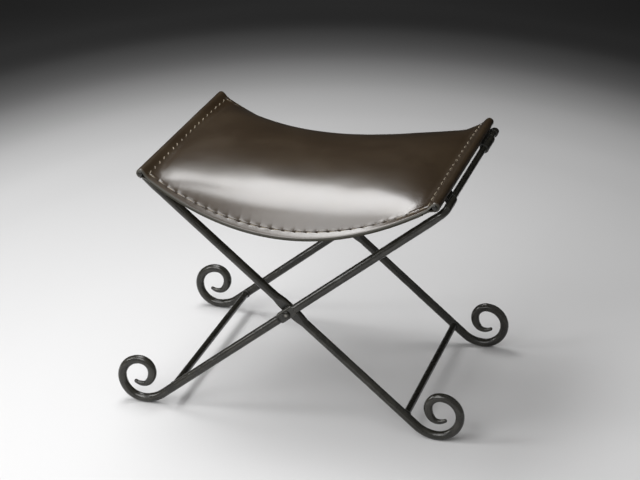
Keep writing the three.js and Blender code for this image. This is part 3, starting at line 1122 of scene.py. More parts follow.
        rise = s.leg_bar / 2 + self.instep * (1.0 - math.cos(slope))
        curl_start = s.leg_run + (s.pivot_height - rise) / math.sin(slope)
        blend = self.inner_flat_blend if self.side is Side.INNER else self.outer_flat_blend
        stops = self.shank_stops(curl_start, blend)
        place, turned = self.scroll((s.pivot_height - rise) / math.tan(slope), rise)
        level = np.full(len(place), plane)
        curl = np.stack([foot * place[:, 0], level, place[:, 1]], 1)
        path = np.concatenate([lap, corner + down * stops[:, None], curl])
        heading = np.stack([foot * np.cos(turned), 0.0 * turned, np.sin(turned)], 1)
        straight = np.broadcast_to(outward, (len(lap) + len(stops), 3))
        out = np.concatenate([straight, np.cross(heading, np.cross(outward, down))])

        flat = 1.0 - smooth_ramp(np.abs(stops - s.leg_run) - self.flat_length / 2, 0.0, blend)
        swell = smooth_ramp(stops, self.corner_radius, self.corner_radius + s.leg_bar)
        thick = self.lap_bar / 2 + (s.leg_bar - self.lap_bar) / 2 * swell
        neck = smooth_ramp(turned, 3.0 * QUARTER_TURN, 4.0 * QUARTER_TURN)
        point = smooth_ramp(turned, 4.0 * QUARTER_TURN, float(turned[-1]))
        necked = s.leg_bar / 2 + (self.neck_bar - s.leg_bar) / 2 * neck
        curl_half = necked + (self.tip_bar / 2 - necked) * point
        lap_half = np.full(len(lap), self.lap_bar / 2)
        half_out, half_side = (
            np.concatenate([lap_half, thick + (width / 2 - thick) * flat, curl_half])
            for width in (self.flat_width, s.flat_thickness)
        )
        power = np.full(len(path), 2.0)
        power[len(lap):len(straight)] += (self.flat_squareness - 2.0) * flat
        return path, out, half_out, half_side, power

    def leg(self, end: End) -> Piece:
        """Forge one leg with its lapped top and scroll foot.

        Args:
            end: Front or rear leg.

        Returns:
            The piece.
        """
        path, out, half_out, half_side, power = self.leg_line(end)
        heading = unit(np.gradient(path, axis=0))
        tip = np.array(self.tip_shares)
        shrink = np.sqrt(1.0 - tip ** 2)
        lap_end = path[0] + heading[0] * self.lap_bevel * (1.0 - tip[::-1, None])
        tip_end = path[-1] + heading[-1] * half_out[-1] * tip[:, None]
        path = np.concatenate([lap_end, path[1:], tip_end])
        first, last = half_out[0] - self.lap_bevel * (1.0 - shrink[::-1]), half_out[-1] * shrink
        half_out, half_side = (
            np.concatenate([first, half[1:], last]) for half in (half_out, half_side)
        )
        added = len(tip)
        power = np.concatenate([np.full(added, 2.0), power[1:], np.full(added, 2.0)])
        out = np.concatenate([np.repeat(out[:1], added, 0), out[1:], np.repeat(out[-1:], added, 0)])
        heading = unit(np.gradient(path, axis=0))
        out = unit(out - (out * heading).sum(axis=1, keepdims=True) * heading)
        bar = ForgedBar(path, out, np.cross(out, heading), half_out, half_side, power)
        bar.hammer_depth, bar.corner_wear = self.leg_hammer, self.flat_corner_wear
        bar.seed = 11 + 7 * self.side.value + 2 * end.value
        return self.finished(f"leg_{end.name.lower()}", bar.skin())

    def round_bar(self, at: np.ndarray, low: float, high: float, bar: float, seed: int) -> Skin:
        """Forge a straight round bar along Y with softened ends.

        Args:
            at: Its x and z.
            low: Y of its front end.
            high: Y of its rear end.
            bar: Its diameter.
            seed: Number that fixes its hammer marks.

        Returns:
            The closed skin.
        """
        bevel = min(self.end_bevel, bar / 6)
        turns = np.array(self.bevel_shares) * QUARTER_TURN
        inset = (bevel * (1.0 - np.sin(turns)))[:, None]
        shrunk = bar / 2 - bevel * (1.0 - np.cos(turns))
        path = y_path(at, low, high, self.station)
        from_end = np.minimum(path[:, 1] - low, high - path[:, 1])
        kept = path[from_end > 1.1 * bevel]
        path = np.concatenate([(path[0] + BACK * inset)[::-1], kept, path[-1] - BACK * inset])
        halves = np.concatenate([shrunk[::-1], np.full(len(kept), bar / 2), shrunk])
        return ForgedBar.along(path, UP, halves, hammer_depth=self.bar_hammer, seed=seed).skin()

    def round_bars(self) -> list[Piece]:
        """Forge the top rail, its collar at the rear tie, the stretcher and the seat rod.

        Returns:
            The four pieces.
        """
        s, hand = self.sizes, self.side.value
        front, rear = (s.plane(self.side, end) for end in End)
        inside = s.leg_bar / 2 - self.stretcher_bite
        rod_front = -(s.sleeve_front + self.rod_stick_out) - hand * s.front_skew + s.shift
        rod_rear = s.sleeve_rear + self.rod_stick_out - hand * s.rear_skew + s.shift
        bars = {
            "top_rail": (self.rail_line, front + self.front_lap, rear - self.rear_lap, s.rail_bar),
            "rail_cradle_rear": (
                s.corner(self.side), *s.tie_span(self.side, End.REAR), s.leg_bar
            ),
            "stretcher": (self.stretcher_line, front + inside, rear - inside, s.stretcher_bar),
            "seat_rod": (s.rod(self.side), rod_front, rod_rear, s.seat_bar),
        }
        return [
            self.finished(part, self.round_bar(*bar, seed=31 + 10 * number + hand))
            for number, (part, bar) in enumerate(bars.items())
        ]

    def tie(self, end: End) -> Piece:
        """Forge the block between the leg tops and the seat rod.

        Args:
            end: Front or rear tie.

        Returns:
            The piece.
        """
        s = self.sizes
        corner, rod = s.corner(self.side), s.rod(self.side)
        across = unit(rod - corner)
        path = y_path((corner + rod) / 2, *s.tie_span(self.side, end), self.tie_station)
        out = np.array([across[0], 0.0, across[1]])
        bar = ForgedBar.along(path, out, s.tie_width / 2)
        bar.squareness = np.full(len(path), self.tie_squareness)
        from_middle = np.abs(np.linspace(-1.0, 1.0, len(path)))
        near_end = np.maximum(0.0, from_middle - 1.0 + self.tie_taper_share) / self.tie_taper_share
        bar.half_out = np.full(len(path), float(np.linalg.norm(rod - corner)) / 2 - self.tie_gap)
        bar.half_side = s.tie_width / 2 * (1.0 - self.tie_taper * near_end)
        return self.finished(f"rod_tie_{end.name.lower()}", bar.skin())

    def bead(self, path: np.ndarray, out: np.ndarray, size: float, seed: int) -> Skin:
        """Lay a rippled weld bead along a path.

        Args:
            path: Its middle line.
            out: Direction that is never along the path.
            size: Its radius.
            seed: Number that fixes its unevenness.

        Returns:
            The closed skin.
        """
        ripple = np.cos(running_length(path, 0) / self.bead_ripple * FULL_TURN)
        lumps = soft_noise(path, self.bead_lump_pitch, seed)
        half = size * (1.0 + self.bead_swell * ripple + self.bead_lumps * lumps)
        for step, share in enumerate(self.bead_tips):
            half[[step, -1 - step]] *= share
        return ForgedBar.along(path, out, half, sides=12).skin()

    def tie_beads(self, end: End, seed: int) -> list[Skin]:
        """Lay the four beads along one tie.

        Args:
            end: Front or rear tie.
            seed: Number that fixes their unevenness, three apart from bead to bead.

        Returns:
            The closed skins.
        """
        s = self.sizes
        corner, rod = s.corner(self.side), s.rod(self.side)
        across = unit(rod - corner)
        lateral = np.array([across[1], -across[0]])
        low, high = s.tie_span(self.side, end)
        half, proud, inset = s.tie_width / 2, self.bead_proud, 0.0015
        skins = []
        for centre, radius, towards in ((corner, s.leg_bar / 2, 1), (rod, s.seat_bar / 2, -1)):
            deep = math.sqrt(radius ** 2 - half ** 2) + 2.0 * proud
            for hand in (-1, 1):
                seed += 3
                at = centre + across * towards * deep + lateral * hand * (half + proud)
                path = y_path(at, low + inset, high - inset, self.bead_station)
                skins.append(self.bead(path, UP, self.tie_bead, seed))
        return skins

    def rail_ring(self, y: float, size: float, seed: int) -> Skin:
        """Lay a bead round the top rail.

        Args:
            y: Where it lies.
            size: Its radius.
            seed: Number that fixes its unevenness.

        Returns:
            The closed skin.
        """
        turn = np.linspace(0.0, FULL_TURN * self.bead_lap, 64)
        path = circle(self.rail_line, y, self.sizes.rail_bar / 2 + self.bead_proud, turn)
        return self.bead(path, BACK, size, seed)

    def stretcher_ring(self, end: End, seed: int) -> Skin:
        """Lay the bead round one end of the stretcher, on the round of the leg.

        Args:
            end: Front or rear leg.
            seed: Number that fixes its unevenness.

        Returns:
            The closed skin.
        """
        s, proud = self.sizes, 0.0005
        down, outward = self.leg_axes
        at = self.stretcher_line
        centre = np.array([at[0], s.plane(self.side, end), at[1]])
        turn = np.linspace(0.0, FULL_TURN * self.bead_lap, 60)[:, None]
        reach = s.stretcher_bar / 2 + proud
        lift = np.sqrt((s.leg_bar / 2) ** 2 - (s.stretcher_bar / 2 * np.sin(turn)) ** 2) + proud
        path = centre + reach * (down * np.cos(turn) + outward * np.sin(turn))
        return self.bead(path - end.value * BACK * lift, BACK, self.leg_bead, seed)

    def weld_beads(self) -> Piece:
        """Lay the weld beads where the bars of this frame meet.

        Returns:
            The piece that holds them all.
        """
        s = self.sizes
        skins = []
        seed = 70 + self.side.value
        for end in End:
            skins += self.tie_beads(end, seed)
            seed += 12
            joint = s.plane(self.side, end) - end.value * (self.lap(end) + 2.0 * self.bead_proud)
            skins.append(self.rail_ring(joint, self.rail_bead, seed))
            skins.append(self.stretcher_ring(end, seed + 1))
        for y in s.tie_span(self.side, End.REAR):
            skins.append(self.rail_ring(y, self.cradle_bead, seed + 5))
        return self.finished("weld_beads", joined(skins), Finish.WELD)


@dataclass
class Pivot:
    """A rivet with peened heads, and the washer between the legs that it joins."""

    end: End
    sizes: StoolSizes
    shank: float = 0.004
    head: float = 0.0075
    head_height: float = 0.003
    washer: float = 0.0095
    bore_play: float = 0.00008
    face_play: float = 0.0003
    rim_bevel: float = 0.0004
    crown_wear: float = 0.0024
    dome_power: float = 0.8
    dome_foot: tuple[Pair, ...] = ((1.0, 0.08), (0.985, 0.0))
    least_radius: float = 1e-5
    blow_pitch: float = 0.005
    blow_depth: float = 0.03

    def face(self, side: Side, outward: int) -> float:
        """Return the y of a leg's face, on its inner (-1) or outer (1) side, with the play."""
        half = self.sizes.flat_thickness / 2 + self.face_play
        return self.sizes.plane(side, self.end) + outward * self.end.value * half

    def build(self) -> list[Piece]:
        """Build the rivet and the washer."""
        return [self.rivet(), self.spacer()]

    def finished(self, part: str, manner: str, skin: Skin) -> Piece:
        """Place one piece of the pivot under its own name."""
        node = f"pivot_{part}_{self.end.name.lower()}"
        return place_piece(f"{node}_{manner}", skin, Finish.RIVET, Hold.INNER, node)

    def rivet(self) -> Piece:
        """Forge the rivet with a domed, slightly uneven head at both ends, worn bare and painted
        with a highlight at each crown.

        Returns:
            The piece.
        """
        inner, outer = self.face(Side.INNER, -1), self.face(Side.OUTER, 1)
        rise = self.head_height * self.end.value
        dome = [
            (max(self.head * math.sin(turn), self.least_radius), math.cos(turn) ** self.dome_power)
            for turn in np.linspace(0.0, QUARTER_TURN, 9)[:-1]
        ]
        dome += [(self.head * share, rise_share) for share, rise_share in self.dome_foot]
        outline = [(radius, inner - rise * share) for radius, share in dome]
        outline += [(self.shank, inner), (self.shank, outer)]
        outline += [(radius, outer + rise * share) for radius, share in reversed(dome)]
        centre = np.array([0.0, self.sizes.pivot_height])
        skin = turned_skin(outline, centre)
        across = skin.points[:, [0, 2]] - centre
        away = np.linalg.norm(across, axis=1)
        uneven = soft_noise(skin.points, self.blow_pitch, 90 + self.end.value)
        uneven = uneven * (away > 1.1 * self.shank)
        skin.points[:, [0, 2]] = centre + across * (1.0 + self.blow_depth * uneven)[:, None]
        # Painted highlight: the crown of each head is marked as worn, so it takes the pale
        # bare-metal colour that stands in for its highlight.
        skin.wear[:] = np.exp(-(away / self.crown_wear) ** 2)
        return self.finished("rivet", "peened", skin)

    def spacer(self) -> Piece:
        """Turn the washer with softened rims.

        Returns:
            The piece.
        """
        near, far = self.face(Side.INNER, 1), self.face(Side.OUTER, -1)
        soft = self.rim_bevel
        bore, rim, step = self.shank + self.bore_play, self.washer, self.end.value * soft
        outline = [
            (bore, near + step), (bore + soft, near), (rim - soft, near), (rim, near + step),
            (rim, far - step), (rim - soft, far), (bore + soft, far), (bore, far - step),
        ]
        skin = turned_skin(outline, np.array([0.0, self.sizes.pivot_height]))
        return self.finished("washer", "turned", skin)


# Sling


@dataclass(frozen=True)
class SlingShape:
    """The face where the two layers of the sling meet, and the lift that the pad gives.

    A row is a place along the depth of the seat, from -1 at its front edge to 1 at its back.
    """

    sizes: StoolSizes
    leather: float = 0.0035
    layer_gap: float = 0.0004
    front_bulge: float = 0.021
    rear_bulge: float = 0.002
    front_sag: float = 0.081
    rear_sag: float = 0.082
    middle_sag: float = 0.025
    sag_power: float = 2.6
    seam_reach: float = 0.012
    tail_reach: float = 0.024
    tail_gap: float = 0.0005
    fold_gap: float = 0.0012
    sleeve_clearance: float = 0.0005
    slot_clearance: float = 0.0015
    stitch_row: float = 0.94
    pad_thickness: float = 0.0165
    pad_side_reach: float = 0.022
    pad_span_power: float = 6.4
    pad_row_power: float = 8.9
    pad_lean: float = 0.58

    @property
    def layer_offset(self) -> float:
        """Distance from the face between the layers to the middle of each."""
        return (self.leather + self.layer_gap) / 2

    @property
    def sleeve_radius(self) -> float:
        """Radius of the middle of the leather round a seat rod."""
        return self.sizes.seat_bar / 2 + self.sleeve_clearance + self.leather / 2

    def sag(self, row: np.ndarray) -> np.ndarray:
        """Return how far the sling hangs at a row."""
        ends = np.where(row < 0.0, self.front_sag, self.rear_sag)
        return self.middle_sag + (ends - self.middle_sag) * np.abs(row) ** self.sag_power

    def slope(self, row: np.ndarray) -> np.ndarray:
        """Return the slope of the sling at the seat rods."""
        return np.arctan2(2.0 * self.sag(row), self.sizes.seat_bar_x)

    def half_span(self, row: np.ndarray, reach: float) -> np.ndarray:
        """Return the x that lies this far in from a seat rod."""
        return self.sizes.seat_bar_x - reach * np.cos(self.slope(row))

    def lift(self, x: np.ndarray, row: np.ndarray) -> np.ndarray:
        """Tell how much the pad lifts the top layer.

        Args:
            x: Places along X.
            row: Rows.

        Returns:
            The lift.
        """
        span = self.sizes.seat_bar_x
        side = np.minimum(1.0, np.abs(x) / (span - self.pad_side_reach))
        edge = np.minimum(1.0, np.abs(row) / self.stitch_row)
        lean = 1.0 + self.pad_lean * x / span * (1.0 - (x / span) ** 2)
        crown = (1.0 - side ** self.pad_span_power) * (1.0 - edge ** self.pad_row_power)
        return self.pad_thickness * lean * crown

    def across(self, x: np.ndarray, row: np.ndarray) -> np.ndarray:
        """Find the y of points.

        Args:
            x: Places along X.
            row: Rows.

        Returns:
            Their y.
        """
        s = self.sizes
        share = np.clip(x / s.seat_bar_x, -1.0, 1.0)
        hollow = 1.0 - share ** 2
        front = -(s.sleeve_front + self.front_bulge * hollow) + s.front_skew * share
        rear = s.sleeve_rear + self.rear_bulge * hollow + s.rear_skew * share
        return front + (rear - front) * (row + 1.0) / 2.0 + s.shift

    def row_at(self, hand: int, y: float) -> float:
        """Return the row that has this y at the left (-1) or right (1) seat rod."""
        front, rear = self.across(np.array(hand * self.sizes.seat_bar_x), np.array([-1.0, 1.0]))
        return float(2.0 * (y - front) / (rear - front) - 1.0)

    def face(self, x: np.ndarray, row: np.ndarray, lifted: bool) -> np.ndarray:
        """Place points on the face between the layers.

        Args:
            x: Places along X.
            row: Rows.
            lifted: Whether the pad's lift is added.

        Returns:
            The points, with x, y and z in the last axis.
        """
        hollow = 1.0 - (x / self.sizes.seat_bar_x) ** 2
        z = self.sizes.seat_bar_z - self.sag(row) * hollow
        if lifted:
            z = z + self.lift(x, row)
        return np.stack(np.broadcast_arrays(x, self.across(x, row), z), axis=-1)


@dataclass
class StitchLine:
    """A row of hand stitches along one line of a grid of leather.

    The grid is points along the line by points across it, line is the index across at which
    the stitches run, first and last are the indices along it between which they run, and
    inward is 1 or -1 for the side that carries the pad.
    """

    grid: np.ndarray
    line: int
    first: int
    last: int
    inward: int
    pitch: float
    seed: int
    hole_depth: float = 0.0018
    hole_size: float = 0.0017
    valley_depth: float = 0.0003
    valley_reach: float = 0.0035
    groove_depth: float = 0.0008
    groove_reach: float = 0.0010
    puff_height: float = 0.0007
    puff_reach: float = 0.0030
    border_reach: float = 0.004
    border_share: float = 0.1
    end_margin: float = 0.002
    crease_depth: float = 0.0003
    crease_width: float = 0.0020
    crease_start: Pair = (-0.002, 0.003)
    crease_reach: float = 0.0065
    jitter: float = 0.0009
    scatter: float = 0.0
    thread: float = 0.0007
    thread_share: float = 0.62
    thread_rise: float = 0.45
    thread_start: float = 0.0004
    dive_reach: float = 0.0007
    slant: float = 0.0009

    def __post_init__(self) -> None:
        """Measure the line and set out its holes."""
        self.walked = running_length(self.grid[:, self.line], 0)
        across = running_length(self.grid, 1)
        self.away = (across - across[:, self.line:self.line + 1]) * self.inward
        start, finish = self.walked[self.first], self.walked[self.last]
        count = max(2, int(round((finish - start) / self.pitch))) + 1
        rng = np.random.default_rng(self.seed)
        moved = rng.uniform(-self.jitter, self.jitter, count) * (1.0 + 2.5 * self.scatter)
        moved[[0, -1]] = 0.0
        self.holes = np.linspace(start, finish, count) + moved
        self.force = rng.uniform(0.65, 1.25, count)
        self.uneven = 1.0 + self.scatter * rng.uniform(-1.0, 1.0, (count, 2))

    def press(self) -> np.ndarray:
        """Draw the leather in at the holes, and let it puff up between them.

        Returns:
            How far each point of the grid moves out.
        """
        away = self.away
        number = np.interp(self.walked, self.holes, np.arange(len(self.holes)))[:, None]
        nearest = np.rint(number).astype(int)
        offset = self.walked[:, None] - self.holes[nearest]
        force = self.force[nearest]
        first, last = self.holes[0] - self.end_margin, self.holes[-1] + self.end_margin
        inside = (self.walked >= first) & (self.walked <= last)
        at_hole = 0.5 * (1.0 + np.cos(FULL_TURN * number))
        hole = np.exp(-(offset ** 2 + away ** 2) / self.hole_size ** 2)
        reach = np.where(away > 0.0, self.valley_reach, 0.4 * self.valley_reach)
        valley = at_hole * np.exp(-(away / reach) ** 2)
        groove = np.exp(-(away / self.groove_reach) ** 2)
        lip = np.exp(-((away - 0.8 * self.puff_reach) / self.puff_reach) ** 2)
        puff = (0.25 + 0.75 * (1.0 - at_hole) ** 0.6) * lip
        crease = np.exp(-(offset / self.crease_width) ** 2) * smooth_ramp(away, *self.crease_start)
        crease = crease * np.exp(-np.clip(away, 0.0, None) / self.crease_reach)
        border = (1.0 - at_hole) * np.exp(-((away + self.border_reach) / self.border_reach) ** 2)
        total = (
            -self.hole_depth * hole * force
            - self.valley_depth * valley * force
            - self.groove_depth * groove
            + self.puff_height * puff * (0.6 + 0.4 * force)
            - self.crease_depth * crease * force
            + self.border_share * self.puff_height * border
        )
        return total * inside[:, None]

    def thread_skins(self, surface: np.ndarray, normals: np.ndarray, depth: float) -> list[Skin]:
        """Lay the thread from hole to hole.

        Args:
            surface: The pressed face of the leather, the same size as the grid.
            normals: Directions out of that face.
            depth: How deep the thread dives at each hole.

        Returns:
            One closed skin for each stitch.
        """
        skins = []
        along_index, across_index = (np.arange(count) for count in self.away.shape)
        share = np.linspace(0.0, 1.0, 15)
        arch = np.sin(share * math.pi)
        for hole, next_hole, (stretch, lean) in zip(self.holes, self.holes[1:], self.uneven):
            length = (next_hole - hole) * self.thread_share * stretch
            stops = hole + self.thread_start + (length - self.thread_start) * share
            along = np.interp(stops, self.walked, along_index)
            slant = self.slant * lean * (1.0 - 2.0 * share) * arch ** 0.5
            nearest = self.away[np.rint(along).astype(int)] * self.inward
            across = np.array([
                np.interp(reach * self.inward, away, across_index)
                for reach, away in zip(slant, nearest)
            ])
            out = unit(grid_point(normals, along, across))
            rise = self.thread_rise * self.thread * np.minimum(1.0, 3.2 * arch)
            dive = depth * np.exp(-np.minimum(share, 1.0 - share) * length / self.dive_reach)
            path = grid_point(surface, along, across) + out * (rise - dive)[:, None]
            half = self.thread * (0.75 + 0.25 * arch ** 0.5)
            skins.append(ForgedBar.along(path, out, half, sides=10).skin())
        return skins


@dataclass
class Settling:
    """Cloth run that lets the leather over the pad puff up between its stitches.

    grid is the leather's face, columns by rows. The run works on a coarser net between the
    seam columns and the stitch rows, held at the seams and at the stitch holes.
    """

    grid: np.ndarray
    columns: tuple[int, int]
    rows: tuple[int, int]
    hole_pitch: float
    net_pitch: float = 0.005
    frames: int = 20
    pressure: float = 7.0
    weight: float = 0.6
    stiffness: float = 2.0
    quality: int = 6
    cap: float = 0.0016
    fade: float = 0.004

    def chosen(self, ends: tuple[int, int], axis: int) -> np.ndarray:
        """Choose lines of the grid for the net.

        Args:
            ends: First and last line.
            axis: 0 for columns, 1 for rows.

        Returns:
            Indices about one net pitch apart.
        """
        walked = np.moveaxis(running_length(self.grid, axis), axis, 0)
        middle = walked[:, walked.shape[1] // 2]
        first, last = middle[list(ends)]
        stops = np.linspace(first, last, int((last - first) / self.net_pitch) + 1)
        return np.unique([int(np.argmin(np.abs(middle - stop))) for stop in stops])

    def pins(self, net: np.ndarray) -> list[int]:
        """Find the points that the stitches hold.

        Args:
            net: The net, columns by rows.

        Returns:
            Numbers of the points at both sides, and at the holes of both ends.
        """
        wide, long = net.shape[:2]
        held = {i * long + j for i in (0, 1, wide - 2, wide - 1) for j in range(long)}
        for j in (0, long - 1):
            walked = running_length(net[:, j], 0)
            for stop in np.arange(0.0, walked[-1], self.hole_pitch):
                held.add(int(np.argmin(np.abs(walked - stop))) * long + j)
        return sorted(held)

    def run(self, net: np.ndarray) -> np.ndarray:
        """Run the net as cloth under a light pressure from the pad.

        Args:
            net: The net, columns by rows.

        Returns:
            Where its points end.
        """
        number = np.arange(net[..., 0].size).reshape(net.shape[:2])
        corners = [number[:-1, :-1], number[1:, :-1], number[1:, 1:], number[:-1, 1:]]
        rings = np.stack(corners, axis=-1).reshape(-1, 4)
        mesh = bpy.data.meshes.new("settling_net")
        mesh.from_pydata(net.reshape(-1, 3).tolist(), [], rings.tolist())
        piece = bpy.data.objects.new("settling_net", mesh)
        scene = bpy.context.scene
        scene.collection.objects.link(piece)
        piece.vertex_groups.new(name="held").add(self.pins(net), 1.0, "REPLACE")
        cloth = piece.modifiers.new("settling", "CLOTH")
        cloth.settings.vertex_group_mass = "held"
        cloth.settings.effector_weights.gravity = 0.0
        cloth.settings.use_pressure = True
        cloth.settings.uniform_pressure_force = self.pressure
        cloth.settings.mass = self.weight
        cloth.settings.bending_stiffness = self.stiffness
        cloth.settings.quality = self.quality
        cloth.point_cache.frame_start, cloth.point_cache.frame_end = 1, self.frames
        for frame_number in range(1, self.frames + 1):
            scene.frame_set(frame_number)
        shown = piece.evaluated_get(bpy.context.evaluated_depsgraph_get())
        ended = np.empty(net.size)
        shown.data.vertices.foreach_get("co", ended)
        bpy.data.objects.remove(piece)
        bpy.data.meshes.remove(mesh)
        scene.frame_set(1)
        return ended.reshape(net.shape)

    def lift(self) -> np.ndarray:
        """Spread the puffs of the run over the leather.

        Returns:
            How far each point of the grid rises.
        """
        columns, rows = self.chosen(self.columns, 0), self.chosen(self.rows, 1)
        net = self.grid[np.ix_(columns, rows)]
        risen = ((self.run(net) - net) * grid_normals(net)).sum(axis=-1)
        puffs = np.clip(risen - smoothed(risen, 30), 0.0, self.cap)
        log.info("settling: up to %.4f m, %.4f m kept", float(risen.max()), float(puffs.max()))
        i, j = (
            np.interp(np.arange(count), lines, np.arange(len(lines)))
            for count, lines in zip(self.grid.shape, (columns, rows))
        )
        wide, long = np.meshgrid(i, j, indexing="ij")
        spread = grid_point(puffs[..., None], wide.ravel(), long.ravel()).reshape(wide.shape)
        walked = running_length(self.grid, 1)
        before, after = (walked[:, row, None] for row in self.rows)
        beyond = np.maximum(before - walked, walked - after)
        spread = smoothed(spread * np.exp(-np.clip(beyond, 0.0, None) / self.fade), 6)
        spread[: self.columns[0]] = 0.0
        spread[self.columns[1] + 1:] = 0.0
        return spread


@dataclass
class Sling:
    """The seat: a top leather with sewn sleeves, a lower leather, a felt pad and the stitches.

    A sleeve's columns run from the span outward: the fold over the lower layer, a bridge, the
    round of the rod before, along and after its slot, a bridge, and the tail.
    """

    sizes: StoolSizes
    stitch_pitch: float = 0.0205
    side_pitch: float = 0.0235
    edge_bevel: float = 0.0042
    lower_bevel: float = 0.0018
    top_dive: float = 0.0022
    under_dive: float = 0.0016
    top_cut: Pair = (0.646, 0.506)
    top_area: float = 0.300
    lower_cut: Pair = (0.510, 0.488)
    lower_area: float = 0.232
    edge_bands: tuple[tuple[float, float, float], ...] = (
        (0.0056, 0.0104, 0.0013),
        (0.0108, 0.0178, 0.0005),
        (0.0186, 0.0270, 0.0011),
        (0.0284, 0.0450, 0.0021),
    )
    middle_rows: int = 116
    least_row: float = 0.0017
    span_columns: int = 340
    lower_columns: int = 150
    fold_columns: int = 9
    bridge_columns: int = 6
    round_columns: tuple[int, int, int] = (15, 12, 6)
    wave_height: float = 0.0004
    wave_pitch: float = 0.045
    loose_from: Pair = (0.03, 0.9)
    loose_over: Pair = (0.05, 0.2)
    edge_polish: float = 0.05
    edge_polish_reach: float = 0.0015
    pad_shares: Pair = (0.97, 0.905)
    pad_counts: tuple[int, int] = (110, 90)
    pad_clearance: float = 0.0001
    pad_hollow: float = 0.0003
    pad_hollow_pitch: float = 0.03
    laid: dict[str, float] = field(
        default_factory=lambda: {
            "hole_depth": 0.0005,
            "valley_depth": 0.0001,
            "groove_depth": 0.0,
            "puff_height": 0.0,
            "crease_depth": 0.0,
            "thread": 0.0009,
            "thread_share": 0.34,
            "thread_rise": 0.7,
            "slant": 0.0022,
            "scatter": 0.45,
        }
    )

    def __post_init__(self) -> None:
        """Set out the shape and the rows of the sling."""
        self.shape = SlingShape(self.sizes)
        self.rows, self.slots = self.row_stations()
        stitch = self.shape.stitch_row
        self.stitch_rows = (self.row_index(-stitch), self.row_index(stitch))
        self.sleeve_columns = 2 * self.fold_columns + 2 * self.bridge_columns + 1
        self.sleeve_columns += sum(self.round_columns)

    def row_stations(self) -> tuple[np.ndarray, list[tuple[int, float, float]]]:
        """Choose the rows of the leather, closest at its cut edges.

        Returns:
            The rows, and for each slot its side, first row and last row.
        """
        depth = 2.0 / (self.sizes.sleeve_front + self.sizes.sleeve_rear)
        edge = np.concatenate([[0.0], *(np.arange(*band) for band in self.edge_bands)]) * depth
        middle = np.linspace(-1.0 + edge[-1], 1.0 - edge[-1], self.middle_rows)[1:-1]
        rows = np.concatenate([-1.0 + edge, middle, (1.0 - edge)[::-1]])
        stitch, clear = self.shape.stitch_row, self.shape.slot_clearance
        fixed = [-stitch, stitch]
        for row in fixed:
            rows[np.argmin(np.abs(rows - row))] = row
        slots = []
        for side in Side:
            for end in End:
                low, high = self.sizes.tie_span(side, end)
                pair = [self.shape.row_at(-side.value, y) for y in (low - clear, high + clear)]
                slots.append((-side.value, *pair))
                fixed += pair
        rows = np.sort(np.concatenate([rows, fixed[2:]]))
        kept = [rows[0]]
        for row in rows[1:]:
            if row - kept[-1] > self.least_row:
                kept.append(row)
            elif np.isclose(row, fixed, rtol=0.0, atol=1e-9).any():
                kept[-1] = row
        return np.array(kept), slots

    def row_index(self, row: float) -> int:
        """Return the index of the row nearest to this one."""
        return int(np.argmin(np.abs(self.rows - row)))

    def column(self, hand: int, place: int) -> int:
        """Return the top leather's column for one of the left (-1) or right (1) sleeve."""
        start = self.sleeve_columns - 1
        return start - place if hand < 0 else start + 1 + self.span_columns + place

    def layer(self, reach: np.ndarray, upward: int) -> np.ndarray:
        """Place points on the middle of one layer, this far in from the right seat rod.

        Args:
            reach: Distances from the rod.
            upward: 1 for the upper layer, -1 for the lower one.

        Returns:
            The points, columns by rows.
        """
        shape, rows = self.shape, self.rows[None, :]
        x = shape.half_span(rows, reach[:, None])
        points = shape.face(x, rows, False)
        tilt = np.arctan2(2.0 * shape.sag(rows) * x, self.sizes.seat_bar_x ** 2)
        points[..., 0] -= upward * shape.layer_offset * np.sin(tilt)
        points[..., 2] += upward * shape.layer_offset * np.cos(tilt)
        return points

    def rod_round(self) -> np.ndarray:
        """Lead the middle of the leather round the right seat rod.

        Returns:
            The points from the span outward, columns by rows.
        """
        shape, s, rows = self.shape, self.sizes, self.rows[None, :]
        slope, radius = shape.slope(rows), shape.sleeve_radius
        touch = math.atan2(shape.layer_offset, shape.seam_reach)
        touch += math.acos(radius / math.hypot(shape.seam_reach, shape.layer_offset))
        slot = math.pi + QUARTER_TURN / 2 + slope
        half_slot = math.asin((s.tie_width / 2 + shape.slot_clearance) / radius)
        stops = [touch, slot - half_slot, slot + half_slot, FULL_TURN - touch]
        turns = [np.full_like(slope, touch)]
        for low, high, count in zip(stops, stops[1:], self.round_columns):
            turns.append(low + (high - low) * np.arange(1, count + 1)[:, None] / count)
        turn = np.concatenate(turns)
        inward, up = radius * np.cos(turn), radius * np.sin(turn)
        x = s.seat_bar_x - inward * np.cos(slope) - up * np.sin(slope)
        z = s.seat_bar_z - inward * np.sin(slope) + up * np.cos(slope)
        return np.stack([x, shape.across(x, rows), z], axis=-1)

    def sleeve(self, hand: int) -> np.ndarray:
        """Lead the leather from the span over one seat rod and back to its tail.

        Args:
            hand: -1 for the left sleeve, 1 for the right one.

        Returns:
            Points from the span outward, columns by rows, of the middle of the leather.
        """
        shape, count = self.shape, self.fold_columns
        seam, tail_end = shape.seam_reach, shape.tail_reach
        over = self.layer(np.linspace(tail_end - shape.fold_gap, seam, count), 1)
        rod_round = self.rod_round()
        tail = self.layer(np.linspace(seam, tail_end - 2.0 * shape.tail_gap, count), -1)
        share = np.linspace(0.0, 1.0, self.bridge_columns + 2)[1:-1, None, None]
        down_to = over[-1:] * (1.0 - share) + rod_round[:1] * share
        back = rod_round[-1:] * (1.0 - share) + tail[:1] * share
        points = np.concatenate([over, down_to, rod_round, back, tail])
        points[..., 0] *= hand
        points[..., 1] = shape.across(points[..., 0], self.rows[None, :])
        return points

